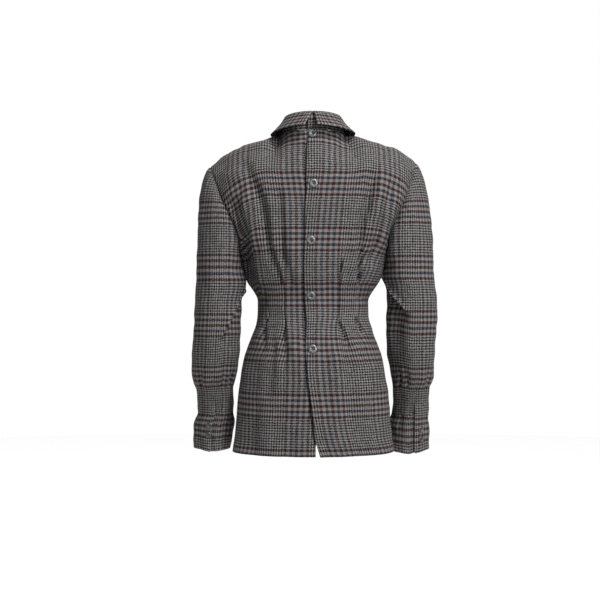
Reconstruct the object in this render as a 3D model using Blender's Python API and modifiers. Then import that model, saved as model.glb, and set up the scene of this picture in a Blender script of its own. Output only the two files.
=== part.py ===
"""Fitted wool blazer that buttons down its back, standing hollow as it is worn.

Units are metres. +Z is up, the buttoned back faces -Y and +X is to the right of someone who looks at it.
The origin is at the middle of the neck base, where the wearer holds the garment up.
Every cloth piece is a thin wall: a surface worked out from the tables below, and the same surface moved in.
"""
import math

import bmesh
import bpy
import numpy as np
from mathutils import Vector


def table(columns, *rows):
    """Rows of numbers whose columns are read by name."""
    return np.array(list(rows), dtype=[(name, float) for name in columns.split()])


CLOTH = 0.0020            # wall of the wool cloth
COLLAR_CLOTH = 0.0026     # wall of the interlined collar pieces
SEAM_GAP = 0.0003         # air left between two pieces that are sewn together
ARMHOLE_GAP = 0.0006      # the sleeve head starts this far outside the armhole edge

# Body below the arms: one row for each level, from the hem up. Half width at the side seam, and how far
# the middle of the back and of the front lie from the side seams.
BODY_LEVELS = table(
    "z half_width back front",
    (-0.672, 0.1730, 0.1160, 0.1080),
    (-0.640, 0.1685, 0.1160, 0.1080),
    (-0.600, 0.1650, 0.1165, 0.1075),
    (-0.555, 0.1615, 0.1165, 0.1065),
    (-0.510, 0.1550, 0.1160, 0.1050),
    (-0.475, 0.1490, 0.1135, 0.1020),
    (-0.445, 0.1395, 0.1075, 0.0980),
    (-0.420, 0.1295, 0.0985, 0.0930),
    (-0.400, 0.1222, 0.0912, 0.0890),
    (-0.386, 0.1198, 0.0868, 0.0868),
    (-0.350, 0.1190, 0.0825, 0.0862),
    (-0.332, 0.1265, 0.0850, 0.0900),
    (-0.310, 0.1415, 0.0920, 0.1000),
    (-0.285, 0.1515, 0.0985, 0.1120),
    (-0.264, 0.1562, 0.1020, 0.1210),
)

# Levels beside the armholes: height at the middle and at the armhole edge, the edge's place, how far the
# middle lies out, and the angle in plan at which the cloth runs into the seam.
BACK_LEVELS = table(
    "z_middle z_edge edge_x edge_y middle angle",
    (-0.226, -0.232, 0.1580, -0.0460, 0.1035, 62.0),
    (-0.196, -0.205, 0.1630, -0.0610, 0.1042, 46.0),
    (-0.155, -0.166, 0.1800, -0.0640, 0.1048, 38.0),
    (-0.113, -0.130, 0.1960, -0.0560, 0.1040, 36.0),
    (-0.078, -0.100, 0.2070, -0.0430, 0.0990, 38.0),
)
FRONT_LEVELS = table(
    "z_middle z_edge edge_x edge_y middle angle",
    (-0.226, -0.226, 0.1640, 0.0540, 0.1275, 60.0),
    (-0.182, -0.182, 0.1790, 0.0660, 0.1235, 46.0),
    (-0.136, -0.142, 0.1950, 0.0610, 0.1085, 38.0),
    (-0.096, -0.102, 0.2080, 0.0470, 0.0930, 38.0),
)
ROW_FULLNESS = 0.5523     # handle of a quarter oval, as a share of its half axis
EDGE_DROOP = 4            # how late a row that ends lower at the armhole starts to drop
KNOT_SHARES = np.array([0.25, 0.5, 0.75])    # columns along which the distance between rows is measured

# Neck and shoulder: the neck is an oval, and the shoulder seam leaves it at its side.
NECK_HALF_WIDTH = 0.0680
NECK_BACK = 0.0620
NECK_FRONT = 0.0620
NECK_Z_BACK = 0.0120
NECK_Z_SIDE = 0.0080
NECK_Z_FRONT = -0.0460
NECK_SIDE_Y = 0.0030
NECK_SHARE = 1.0 / 3.0    # share of a half panel's columns that end on the neck
NECK_EASE = 0.06          # share before it over which the edge turns from the neck to the shoulder
SHOULDER_SEAM = table(
    "x y z",
    (0.0680, 0.0030, 0.0080),
    (0.0880, 0.0030, 0.0020),
    (0.1250, 0.0035, -0.0110),
    (0.1570, 0.0040, -0.0225),
    (0.1870, 0.0045, -0.0345),
    (0.2080, 0.0050, -0.0500),
    (0.2210, 0.0050, -0.0610),
)
# Line a finger's width off the neck and shoulder edge, where the cloth rolls over: its shift from that edge.
BACK_ROLL = table(
    "share x y z",
    (0.0, 0.0000, -0.0100, -0.0240),
    (0.3333, 0.0040, -0.0170, -0.0140),
    (0.5, 0.0000, -0.0260, -0.0070),
    (0.8, -0.0010, -0.0250, -0.0090),
    (1.0, -0.0030, -0.0270, -0.0110),
)
FRONT_ROLL = table(
    "share x y z",
    (0.0, 0.0000, 0.0110, -0.0220),
    (0.3333, 0.0040, 0.0180, -0.0160),
    (0.5, 0.0000, 0.0270, -0.0090),
    (0.8, -0.0010, 0.0250, -0.0110),
    (1.0, -0.0030, 0.0270, -0.0120),
)

# Closing at the middle of the back. The right half's edge wanders, and stands off between the buttons.
RIGHT_EDGE = table(
    "z x gape",
    (-0.672, 0.0140, 0.0030),
    (-0.640, 0.0050, 0.0032),
    (-0.592, -0.0010, 0.0040),
    (-0.548, -0.0057, 0.0040),
    (-0.505, -0.0115, 0.0026),
    (-0.449, -0.0156, 0.0000),
    (-0.395, -0.0130, 0.0040),
    (-0.338, -0.0182, 0.0000),
    (-0.280, -0.0188, 0.0008),
    (-0.223, -0.0180, 0.0000),
    (-0.160, -0.0165, 0.0010),
    (-0.105, -0.0145, 0.0000),
    (-0.040, -0.0130, 0.0036),
    (0.012, -0.0115, 0.0000),
)
LEFT_EDGE_X = 0.0040      # the left half runs on under the right one to here
LAP_SHIFT = 0.0017        # the upper layer stands this far out at the lap, and the lower one this far in
LAP_RAMP_FROM = 0.012     # the layers part between these distances from the middle
LAP_RAMP_TO = 0.038

# Folds on the two halves of the back, seen from behind: x out from the middle. A fold drops on its inner
# side and rolls up on its outer side. The first two rows of each half are stitched tucks at the waist.
RIGHT_FOLDS = table(
    "x_low z_low x_high z_high depth_low depth_high width roll",
    (0.0545, -0.388, 0.0550, -0.310, 0.0024, 0.0024, 0.0030, 0.014),
    (0.0905, -0.388, 0.0950, -0.310, 0.0024, 0.0024, 0.0030, 0.012),
    (0.0555, -0.312, 0.0630, -0.245, 0.0060, 0.0000, 0.0065, 0.020),
    (0.0955, -0.312, 0.1280, -0.100, 0.0080, 0.0015, 0.0080, 0.024),
    (0.0690, -0.440, 0.0545, -0.386, 0.0000, 0.0060, 0.0060, 0.018),
    (0.1000, -0.420, 0.0905, -0.386, 0.0000, 0.0050, 0.0060, 0.016),
)
LEFT_FOLDS = table(
    "x_low z_low x_high z_high depth_low depth_high width roll",
    (0.0570, -0.395, 0.0620, -0.310, 0.0024, 0.0024, 0.0030, 0.014),
    (0.0910, -0.388, 0.1040, -0.322, 0.0024, 0.0024, 0.0030, 0.012),
    (0.0630, -0.312, 0.1260, -0.076, 0.0095, 0.0015, 0.0085, 0.026),
    (0.1080, -0.322, 0.1500, -0.140, 0.0070, 0.0000, 0.0075, 0.018),
    (0.0570, -0.275, 0.0570, -0.150, 0.0030, 0.0000, 0.0110, 0.020),
    (0.0550, -0.495, 0.0575, -0.395, 0.0000, 0.0050, 0.0060, 0.018),
    (0.0970, -0.482, 0.0910, -0.388, 0.0000, 0.0055, 0.0065, 0.016),
)
FRONT_FOLDS = table(
    "x_low z_low x_high z_high depth_low depth_high width roll",
    (0.0550, -0.390, 0.0560, -0.312, 0.0024, 0.0024, 0.0030, 0.014),
    (0.0910, -0.388, 0.0950, -0.312, 0.0024, 0.0024, 0.0030, 0.012),
    (0.0565, -0.314, 0.0720, -0.220, 0.0075, 0.0000, 0.0075, 0.022),
    (0.0955, -0.314, 0.1200, -0.190, 0.0060, 0.0000, 0.0070, 0.018),
    (0.0600, -0.470, 0.0550, -0.388, 0.0000, 0.0055, 0.0065, 0.018),
    (0.1000, -0.450, 0.0910, -0.386, 0.0000, 0.0050, 0.0060, 0.016),
)
FOLD_RISE = 0.55          # share of a fold's depth by which its outer side rises ...
FOLD_DROP = 0.60          # ... and its inner side drops
FOLD_VALLEY = 1.6         # how wide the dropped side is, in widths of the fold
FOLD_END = 0.020          # a fold fades out over this length past its ends
SEAM_CALM = 0.88          # folds flatten out over the last columns before a seam, from this share on

# Sleeves: outer and inner edge seen from behind, at levels below the underarm.
LEFT_SLEEVE = table(
    "z outer inner",
    (-0.300, 0.2500, 0.1505),
    (-0.322, 0.2512, 0.1490),
    (-0.350, 0.2530, 0.1535),
    (-0.385, 0.2550, 0.1545),
    (-0.435, 0.2585, 0.1570),
    (-0.488, 0.2615, 0.1610),
    (-0.514, 0.2610, 0.1645),
    (-0.528, 0.2578, 0.1690),
    (-0.539, 0.2535, 0.1730),
    (-0.560, 0.2515, 0.1725),
    (-0.592, 0.2505, 0.1745),
    (-0.606, 0.2570, 0.1740),
    (-0.620, 0.2612, 0.1768),
    (-0.645, 0.2620, 0.1800),
    (-0.6695, 0.2610, 0.1820),
)
RIGHT_SLEEVE = table(
    "z outer inner",
    (-0.300, 0.2600, 0.1520),
    (-0.322, 0.2625, 0.1575),
    (-0.350, 0.2650, 0.1585),
    (-0.385, 0.2660, 0.1570),
    (-0.435, 0.2635, 0.1580),
    (-0.488, 0.2615, 0.1645),
    (-0.514, 0.2605, 0.1690),
    (-0.528, 0.2570, 0.1710),
    (-0.539, 0.2525, 0.1725),
    (-0.560, 0.2515, 0.1735),
    (-0.592, 0.2525, 0.1740),
    (-0.606, 0.2530, 0.1725),
    (-0.620, 0.2555, 0.1690),
    (-0.645, 0.2560, 0.1680),
    (-0.6705, 0.2550, 0.1690),
)
# How far the sleeve reaches back and forward: the elbow hangs back, the wrist forward.
SLEEVE_DEPTH = table(
    "z back front",
    (-0.300, -0.0720, 0.0660),
    (-0.350, -0.0700, 0.0600),
    (-0.400, -0.0660, 0.0560),
    (-0.450, -0.0580, 0.0600),
    (-0.490, -0.0460, 0.0660),
    (-0.514, -0.0360, 0.0710),
    (-0.528, -0.0260, 0.0710),
    (-0.539, -0.0160, 0.0690),
    (-0.560, -0.0060, 0.0740),
    (-0.592, 0.0010, 0.0830),
    (-0.620, 0.0050, 0.0960),
    (-0.6705, 0.0080, 0.1030),
)
# Direction in which the sleeve head leaves the armhole, times its pull, at the four quarters.
HEAD_PULL = table(
    "x y z",
    (0.0920, 0.0000, -0.0160),
    (0.0480, -0.0420, -0.0420),
    (0.0010, 0.0000, -0.0200),
    (0.0480, 0.0420, -0.0420),
)
HEAD_END_PULL = (0.235, 0.070, 0.026, 0.070)   # pull down the sleeve, at the same quarters
HEAD_END_WAY = (0.02, 0.0, -1.0)               # direction in which the head runs into the sleeve
BACK_SEAM = {"left": 91.0, "right": 80.0}      # degrees from the sleeve's outer side, over its back
FRONT_SEAM = 265.0
SLEEVE_RADIUS = 0.040                          # turns lengths round the sleeve into degrees

# Elbow crease: it runs from the inner side down over the back, and the cloth below it falls in.
ELBOW_CREASE = {
    "left": table("angle z", (172.0, -0.335), (140.0, -0.372), (110.0, -0.425)),
    "right": table("angle z", (172.0, -0.300), (132.0, -0.335), (100.0, -0.372)),
}
ELBOW_DEPTH = {"left": 0.0060, "right": 0.0110}
ELBOW_SPREAD = 0.045      # height over which the hollow under the crease fades
ELBOW_LIP = 0.012         # height over which the cloth turns in at the crease
ELBOW_STARTS = (70.0, 105.0)    # the hollow deepens between these degrees ...
ELBOW_STOPS = (180.0, 235.0)    # ... and fades between these

# Wrist and cuff: stitched tucks above the wrist, gathers let out below them, and a lapped vent.
WRIST_TOP = (-0.539, -0.523)        # the tucks open out upwards between these heights ...
WRIST_BOTTOM = (-0.620, -0.590)     # ... and are let out downwards between these
WRIST_TUCKS = 5           # tucks in each sleeve piece
WRIST_TUCK_DEPTH = 0.0016
CUFF_WAVE = 0.0018        # height of the gathers in the cuff
VENT_FROM = -0.572        # the two layers start to part here ...
VENT_PARTED = -0.592      # ... are apart here, where the lap starts ...
VENT_LAPPED = -0.600      # ... and lap in full from here down
VENT_LAP = 0.0107
VENT_SHIFT = 0.0014       # the upper sleeve stands this far out at the vent, and the under one this far in
VENT_UPPER = (0.70, 0.92)     # share of the upper sleeve over which it starts to stand out
VENT_UNDER = (0.08, 0.30)     # share of the under sleeve over which it stops standing in

# Collar leaf: lines round the neck from the fold to its edge. Half width, how far out at back and front,
# height at back, side and front, and how far its two ends stand off the middle of the back.
FALL_LINES = table(
    "half_width back front z_back z_side z_front x_right x_left",
    (0.0520, 0.0545, 0.0520, 0.0510, 0.0452, -0.0075, 0.0006, 0.0006),
    (0.0570, 0.0600, 0.0570, 0.0505, 0.0430, -0.0100, 0.0016, 0.0030),
    (0.0700, 0.0705, 0.0690, 0.0385, 0.0270, -0.0300, 0.0046, 0.0100),
    (0.0940, 0.0840, 0.0850, 0.0200, 0.0070, -0.0560, 0.0088, 0.0190),
)
STAND_BULGE = 0.0020      # the stand bows out this far between the neck seam and the fold
STAND_LIFT = 0.0008       # the stand starts this far above the neck edge
NECK_SEAM = table("half_width back front z_back z_side z_front",
                  (NECK_HALF_WIDTH, NECK_BACK, NECK_FRONT, NECK_Z_BACK + STAND_LIFT, NECK_Z_SIDE + STAND_LIFT,
                   NECK_Z_FRONT + STAND_LIFT))[0]
STAND_DROP = 0.0020       # the stand is cut this much lower where its ends lap
STAND_LAP = 1.4           # its thicker ends stand apart this many times as far as the body's

# Buttons: turned, with a raised rim round a dished middle.
BACK_BUTTON_RADIUS = 0.0090
CUFF_BUTTON_RADIUS = 0.0066
BUTTON_HEIGHT = 0.36      # share of the radius
BUTTON_PROFILE = table(
    "radius height",
    (0.00, 0.55),
    (0.50, 0.55),
    (0.72, 1.00),
    (0.88, 1.00),
    (1.00, 0.62),
    (0.92, 0.12),
    (0.66, 0.00),
    (0.00, 0.00),
)
BUTTON_SEAT = 0.0003      # air under a button where it lies on the cloth
BACK_BUTTONS = table("x z", (-0.0018, 0.0010), (-0.0004, -0.105), (-0.0050, -0.223), (-0.0050, -0.338),
                     (-0.0030, -0.449))
CUFF_BUTTONS = {
    "left": table("x z", (0.2230, -0.617), (0.2260, -0.639)),
    "right": table("x z", (0.2330, -0.627), (0.2330, -0.648)),
}

WOOL = ((0.11, 0.10, 0.105), 0.85)    # colour and roughness
HORN = ((0.10, 0.10, 0.105), 0.25)

# How finely the solids are cut. The columns of a half panel crowd where its tucks are, at about 0.30 and 0.57.
HALF_COLUMNS = np.array([0.0, 0.07, 0.14, 0.21, 0.27, 0.30, NECK_SHARE,
                         0.42, 0.51, 0.56, 0.60, 0.70, 0.82, 0.92, 1.0])
LONG_LEVEL = 0.027        # levels further apart than this have one more line between them
HEAD_STEPS = 7
SLEEVE_COLUMNS = 11
SLEEVE_STEPS = 19
STAND_STEPS = 2
FALL_STEPS = 5
BUTTON_SIDES = 12
SEAT_STEPS = 6            # how finely the cloth under a button is looked at
ARMHOLE_STEPS = 160
SHARP_EDGE = 50.0         # degrees
MERGE = 1e-5              # the ends of a turned profile close within this
NUDGE = 1e-4              # step for working out directions on a surface
TINY = 1e-30
FAR = 10.0                # further than any place on the garment


def smooth_step(low, high, value):
    """0 below low, 1 above high, and a soft ramp between."""
    share = np.clip((value - low) / (high - low), 0.0, 1.0)
    return share * share * (3.0 - 2.0 * share)


def through(knots, values, at):
    """Smooth curve through values at rising knots, read at the places in at. It never overshoots a value."""
    knots = np.asarray(knots, float)
    values = np.asarray(values, float)
    at = np.clip(np.asarray(at, float), knots[0], knots[-1])
    steps = np.diff(values, axis=0) / np.diff(knots).reshape((-1,) + (1,) * (values.ndim - 1))
    slopes = np.gradient(values, knots, axis=0)
    most = 3.0 * np.minimum(np.abs(steps[:-1]), np.abs(steps[1:]))
    same_way = steps[:-1] * steps[1:] > 0
    slopes[1:-1] = np.where(same_way, np.clip(slopes[1:-1], -most, most), 0.0)
    first = np.clip(np.searchsorted(knots, at, side="right") - 1, 0, len(knots) - 2)
    span = knots[first + 1] - knots[first]
    share = (at - knots[first]) / span
    shape = at.shape + (1,) * (values.ndim - 1)
    share = share.reshape(shape)
    span = span.reshape(shape)
    start = (1.0 + 2.0 * share) * (1.0 - share) ** 2
    end = share * share * (3.0 - 2.0 * share)
    leave = share * (1.0 - share) ** 2 * span
    arrive = share * share * (share - 1.0) * span
    return start * values[first] + end * values[first + 1] + leave * slopes[first] + arrive * slopes[first + 1]


def by_height(rows, column, z):
    """One column of a table whose heights rise or fall, read at any height."""
    order = np.argsort(rows["z"])
    return through(rows["z"][order], rows[column][order], z)


def body_row(edge_x, edge_y, middle_y, angle, start_x, share):
    """A level line of the body in plan, from the opening edge to the seam, square to the middle line."""
    begin = start_x / (3.0 * ROW_FULLNESS * edge_x)
    along = begin + (1.0 - begin) * share
    side = np.sign(along)
    t = np.abs(along)
    turn = math.radians(angle)
    facing = math.copysign(1.0, edge_y - middle_y)
    handle = ROW_FULLNESS * abs(edge_y - middle_y) / math.sin(turn)
    points = (
        (0.0, middle_y),
        (ROW_FULLNESS * edge_x, middle_y),
        (edge_x - handle * math.cos(turn), edge_y - facing * handle * math.sin(turn)),
        (edge_x, edge_y),
    )
    weights = ((1 - t) ** 3, 3 * t * (1 - t) ** 2, 3 * t * t * (1 - t), t ** 3)
    x = sum(w * p[0] for w, p in zip(weights, points)) * side
    y = sum(w * p[1] for w, p in zip(weights, points))
    return x, y, t


def neck_and_shoulder(depth, z_middle, start_x, share):
    """Upper edge of a half panel: round the neck to its side, then out along the shoulder seam."""
    on_neck = np.clip(share / NECK_SHARE, 0.0, 1.0)
    begin = math.asin(start_x / NECK_HALF_WIDTH)
    angle = begin + (math.pi / 2 - begin) * on_neck
    rise = np.cos(angle) ** 2
    neck = np.stack([
        NECK_HALF_WIDTH * np.sin(angle),
        NECK_SIDE_Y + (depth - NECK_SIDE_Y) * np.cos(angle),
        NECK_Z_SIDE + (z_middle - NECK_Z_SIDE) * rise,
    ], axis=-1)
    seam = np.stack([SHOULDER_SEAM[name] for name in "xyz"], axis=-1)
    run = np.concatenate([[0.0], np.cumsum(np.linalg.norm(np.diff(seam, axis=0), axis=1))])
    shoulder = through(run, seam, run[-1] * np.clip((share - NECK_SHARE) / (1 - NECK_SHARE), 0.0, 1.0))
    return np.where((share <= NECK_SHARE)[:, None], neck, shoulder)


def key_rows(levels, roll, facing, opening_x, share):
    """The lines across a half panel that its surface passes through, from the hem up to the shoulder."""
    rows = []
    for level in BODY_LEVELS:
        middle = facing * (level["back"] if facing < 0 else level["front"])
        x, y, t = body_row(level["half_width"], 0.0, middle, 90.0, opening_x(level["z"]), share)
        rows.append(np.stack([x, y, np.full_like(x, level["z"])], axis=-1))
    for level in levels:
        x, y, t = body_row(level["edge_x"], level["edge_y"], facing * level["middle"], level["angle"],
                           opening_x(level["z_middle"]), share)
        z = level["z_middle"] + (level["z_edge"] - level["z_middle"]) * t ** EDGE_DROOP
        rows.append(np.stack([x, y, z], axis=-1))
    depth, z_middle = (-NECK_BACK, NECK_Z_BACK) if facing < 0 else (NECK_FRONT, NECK_Z_FRONT)
    top = neck_and_shoulder(depth, z_middle, opening_x(z_middle), share)
    shift = np.stack([through(roll["share"], roll[name], share) for name in "xyz"], axis=-1)
    return np.stack(rows + [top + shift, top])


def half_panel(levels, roll, facing, opening_x):
    """Surface of a half panel as a function of share (opening edge 0, seam 1) and level (row number)."""
    def surface(share, level):
        rows = key_rows(levels, roll, facing, opening_x, share)
        return through(run, rows, np.interp(level, np.arange(len(rows)), run))

    middle = key_rows(levels, roll, facing, opening_x, KNOT_SHARES)
    steps = np.linalg.norm(np.diff(middle, axis=0), axis=-1).mean(axis=-1)
    run = np.concatenate([[0.0], np.cumsum(steps)])
    return surface


def opening_right(z):
    return float(by_height(RIGHT_EDGE, "x", z))


def opening_left(z):
    return -LEFT_EDGE_X


def no_opening(z):
    return 0.0


BACK_RIGHT = half_panel(BACK_LEVELS, BACK_ROLL, -1, opening_right)
BACK_LEFT = half_panel(BACK_LEVELS, BACK_ROLL, -1, opening_left)
FRONT_HALF = half_panel(FRONT_LEVELS, FRONT_ROLL, 1, no_opening)
UNDERARM_LEVEL = len(BODY_LEVELS) - 1
BACK_TOP = len(BODY_LEVELS) + len(BACK_LEVELS) + 1
FRONT_TOP = len(BODY_LEVELS) + len(FRONT_LEVELS) + 1


def outward(surface, first, second, flip):
    """Unit normals of a surface at its grid points, turned out of the garment by flip."""
    across = surface(first + NUDGE, second) - surface(first - NUDGE, second)
    up = surface(first, second + NUDGE) - surface(first, second - NUDGE)
    normals = np.cross(across, up) * flip
    return normals / np.maximum(np.linalg.norm(normals, axis=-1, keepdims=True), TINY)


def seam_normals(normals, share, level, top_level):
    """Normals without their lean over the shoulder seam, so that both pieces meet it with upright edges."""
    at_seam = smooth_step(top_level - 1.0, top_level, level)[:, None]
    at_seam = at_seam * smooth_step(NECK_SHARE - NECK_EASE, NECK_SHARE, share)[None, :]
    upright = normals.copy()
    upright[..., 1] *= 1.0 - at_seam
    return upright / np.linalg.norm(upright, axis=-1, keepdims=True)


def fold_height(folds, x, z):
    """How far the folds of one panel lift (or drop) its cloth at places seen from behind."""
    height = np.zeros_like(x)
    for fold in folds:
        run_x = fold["x_high"] - fold["x_low"]
        run_z = fold["z_high"] - fold["z_low"]
        length = math.hypot(run_x, run_z)
        along = ((x - fold["x_low"]) * run_x + (z - fold["z_low"]) * run_z) / length
        out = ((x - fold["x_low"]) * run_z - (z - fold["z_low"]) * run_x) / length
        share = np.clip(along / length, 0.0, 1.0)
        depth = fold["depth_low"] + (fold["depth_high"] - fold["depth_low"]) * share
        past = np.maximum(np.maximum(-along, along - length), 0.0)
        depth = depth * np.exp(-(past / FOLD_END) ** 2)
        raised = smooth_step(-fold["width"], fold["width"], out) * np.exp(-np.maximum(out, 0.0) / fold["roll"])
        dropped = np.exp(-((out + fold["width"]) / (FOLD_VALLEY * fold["width"])) ** 2)
        height += depth * (FOLD_RISE * raised - FOLD_DROP * dropped)
    return height


def lap_height(side, x, z):
    """How far the two layers stand apart where the right half laps over the left one."""
    from_middle = x if side > 0 else -x
    near = 1.0 - smooth_step(LAP_RAMP_FROM, LAP_RAMP_TO, np.abs(from_middle))
    near = np.where(from_middle < LAP_RAMP_FROM, 1.0, near)
    if side < 0:
        return -LAP_SHIFT * near
    return (LAP_SHIFT + by_height(RIGHT_EDGE, "gape", z)) * near


def back_half(side):
    """Outer points and normals of a half of the back, as a function of share and level."""
    surface = BACK_RIGHT if side > 0 else BACK_LEFT
    folds = RIGHT_FOLDS if side > 0 else LEFT_FOLDS
    mirror = np.array([side, 1.0, 1.0])

    def shape(share, level):
        points = surface(share, level)
        normals = seam_normals(outward(surface, share, level, 1.0), share, level, BACK_TOP)
        calm = 1.0 - smooth_step(SEAM_CALM, 1.0, share)[None, :]
        height = fold_height(folds, points[..., 0], points[..., 2]) * calm
        height += lap_height(side, points[..., 0] * side, points[..., 2])
        return (points + normals * height[..., None]) * mirror, normals * mirror
    return shape


def front_half(side):
    """Outer points and normals of a half of the front."""
    mirror = np.array([side, 1.0, 1.0])

    def shape(share, level):
        points = FRONT_HALF(share, level)
        normals = seam_normals(outward(FRONT_HALF, share, level, -1.0), share, level, FRONT_TOP)
        calm = 1.0 - smooth_step(SEAM_CALM, 1.0, share)[None, :]
        height = fold_height(FRONT_FOLDS, points[..., 0], points[..., 2]) * calm
        return (points + normals * height[..., None]) * mirror, normals * mirror
    return shape


def armhole_line(surface, top_level):
    """Half of the armhole from the shoulder to the underarm, and how far along it each point lies."""
    level = np.linspace(top_level, UNDERARM_LEVEL, ARMHOLE_STEPS)
    points = surface(np.array([1.0]), level)[:, 0]
    run = np.concatenate([[0.0], np.cumsum(np.linalg.norm(np.diff(points, axis=0), axis=1))])
    return run / run[-1], points


ARMHOLE_BACK = armhole_line(BACK_RIGHT, BACK_TOP)
ARMHOLE_FRONT = armhole_line(FRONT_HALF, FRONT_TOP)


def armhole(angle):
    """Armhole of the right side: 0 degrees at the shoulder, 90 at the back, 180 at the underarm."""
    turn = np.mod(angle, 360.0)
    share = np.where(turn <= 180.0, turn, 360.0 - turn) / 180.0
    back = np.stack([np.interp(share, ARMHOLE_BACK[0], ARMHOLE_BACK[1][:, i]) for i in range(3)], axis=-1)
    front = np.stack([np.interp(share, ARMHOLE_FRONT[0], ARMHOLE_FRONT[1][:, i]) for i in range(3)], axis=-1)
    return np.where((turn <= 180.0)[..., None], back, front) + np.array([ARMHOLE_GAP, 0.0, 0.0])


def around(values, angle):
    """Blend of values given at the four quarters of a sleeve (outer, back, inner, front)."""
    values = np.asarray(values, float)
    closed = np.concatenate([values[-1:], values, values[:2]])
    return through(np.arange(-1, 6) * 90.0, closed, np.mod(angle, 360.0))


def sleeve_ring(edges, angle, z):
    """Oval rings of a sleeve, for a grid of angles at heights z."""
    outer = by_height(edges, "outer", z)[:, None]
    inner = by_height(edges, "inner", z)[:, None]
    back = by_height(SLEEVE_DEPTH, "back", z)[:, None]
    front = by_height(SLEEVE_DEPTH, "front", z)[:, None]
    turn = np.radians(angle)
    x = (outer + inner) / 2 + (outer - inner) / 2 * np.cos(turn)
    y = (back + front) / 2 + (back - front) / 2 * np.sin(turn)
    return np.stack([x, y, np.broadcast_to(z[:, None], x.shape)], axis=-1)


def sleeve_surface(edges):
    """Sleeve surface: level 0 to 1 is the head, from the armhole, and 1 to 2 the sleeve below it."""
    top, bottom = edges["z"][0], edges["z"][-1]
    pull = np.stack([HEAD_PULL[name] for name in "xyz"], axis=-1)

    def surface(angle, level):
        start = armhole(angle)
        end = sleeve_ring(edges, angle, np.array([top]))[0]
        leave = around(pull, angle)
        arrive = around(HEAD_END_PULL, angle)[..., None] * np.array(HEAD_END_WAY)
        u = np.clip(level, 0.0, 1.0)[:, None, None]
        head = ((1 + 2 * u) * (1 - u) ** 2 * start + u * u * (3 - 2 * u) * end
                + u * (1 - u) ** 2 * leave + u * u * (u - 1) * arrive)
        z = top + (bottom - top) * np.clip(level - 1.0, 0.0, 1.0)
        tube = sleeve_ring(edges, angle, z)
        return np.where((level <= 1.0)[:, None, None], head, tube)
    return surface


def crease_height(side_name, angle, z):
    """The hollow under the elbow crease."""
    crease = ELBOW_CREASE[side_name]
    order = np.argsort(crease["angle"])
    line = np.interp(angle, crease["angle"][order], crease["z"][order])
    below = line - z
    inside = smooth_step(*ELBOW_STARTS, angle) * (1.0 - smooth_step(*ELBOW_STOPS, angle))
    hollow = smooth_step(-ELBOW_LIP / 2, ELBOW_LIP / 2, below) * np.exp(-np.maximum(below, 0.0) / ELBOW_SPREAD)
    return -ELBOW_DEPTH[side_name] * inside * hollow


def wrist_height(share, z):
    """Tucks above the wrist and gathers in the cuff, for one sleeve piece from seam to seam."""
    wave = np.cos(2.0 * math.pi * WRIST_TUCKS * share)
    tucked = 1.0 - smooth_step(*WRIST_TOP, z)
    loose = 1.0 - smooth_step(*WRIST_BOTTOM, z)
    return wave * (WRIST_TUCK_DEPTH * tucked * (1.0 - loose) + CUFF_WAVE * loose)


def sleeve_piece(side, upper):
    """Outer points and normals of one sleeve piece, as a function of share and level."""
    name = "right" if side > 0 else "left"
    edges = RIGHT_SLEEVE if side > 0 else LEFT_SLEEVE
    surface = sleeve_surface(edges)
    mirror = np.array([side, 1.0, 1.0])
    gap = math.degrees(SEAM_GAP / 2 / SLEEVE_RADIUS)

    def shape(share, level):
        z = edges["z"][0] + (edges["z"][-1] - edges["z"][0]) * np.clip(level - 1.0, 0.0, 1.0)
        z = np.where(level < 1.0, 0.0, z)
        lap = (1.0 - smooth_step(VENT_LAPPED, VENT_PARTED, z)) * math.degrees(VENT_LAP / SLEEVE_RADIUS)
        part = 1.0 - smooth_step(VENT_PARTED, VENT_FROM, z)
        grid = []
        for row in range(len(level)):
            if upper:
                begin, end = FRONT_SEAM - 360.0 + gap, BACK_SEAM[name] - gap
            else:
                begin, end = BACK_SEAM[name] + gap - lap[row], FRONT_SEAM - gap
            angle = begin + (end - begin) * share
            one = np.array([level[row]])
            points = surface(angle, one)[0]
            normals = outward(surface, angle, one, 1.0)[0]
            at_vent = smooth_step(*VENT_UPPER, share) if upper else 1.0 - smooth_step(*VENT_UNDER, share)
            height = crease_height(name, np.mod(angle, 360.0), points[:, 2])
            height = height + wrist_height(share, points[:, 2]) * (1.0 - at_vent)
            height = height + (VENT_SHIFT if upper else -VENT_SHIFT) * part[row] * at_vent
            grid.append((points + normals * height[:, None], normals))
        return np.stack([g[0] for g in grid]) * mirror, np.stack([g[1] for g in grid]) * mirror
    return shape


def neck_line(line, angle):
    """Points on a line round the neck: 0 degrees at the middle of the back, 90 at the right side."""
    turn = np.radians(angle)
    cosine = np.cos(turn)
    reach = np.where(cosine > 0, -line["back"] - NECK_SIDE_Y, line["front"] - NECK_SIDE_Y)
    z_end = np.where(cosine > 0, line["z_back"], line["z_front"])
    z = line["z_side"] + (z_end - line["z_side"]) * cosine * cosine
    return np.stack([line["half_width"] * np.sin(turn), NECK_SIDE_Y + reach * np.abs(cosine), z], axis=-1)


def round_the_neck(x_right, x_left, half_width):
    """Angles of the columns round the neck, from one end at the back to the other, in step with the panels."""
    columns = HALF_COLUMNS[HALF_COLUMNS <= NECK_SHARE] / NECK_SHARE
    right = math.degrees(math.asin(x_right / half_width))
    left = math.degrees(math.asin(x_left / half_width))
    return np.concatenate([
        right + (90.0 - right) * columns,
        (180.0 - 90.0 * columns)[::-1][1:],
        (180.0 + 90.0 * columns)[1:],
        (360.0 - left - (90.0 - left) * columns)[::-1][1:],
    ])


def fall_surface(angles, level):
    """The collar leaf, through its lines, for the angles of the columns on each line."""
    rows = np.stack([neck_line(line, angle) for line, angle in zip(FALL_LINES, angles)])
    return through(np.arange(len(rows)), rows, level)


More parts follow.
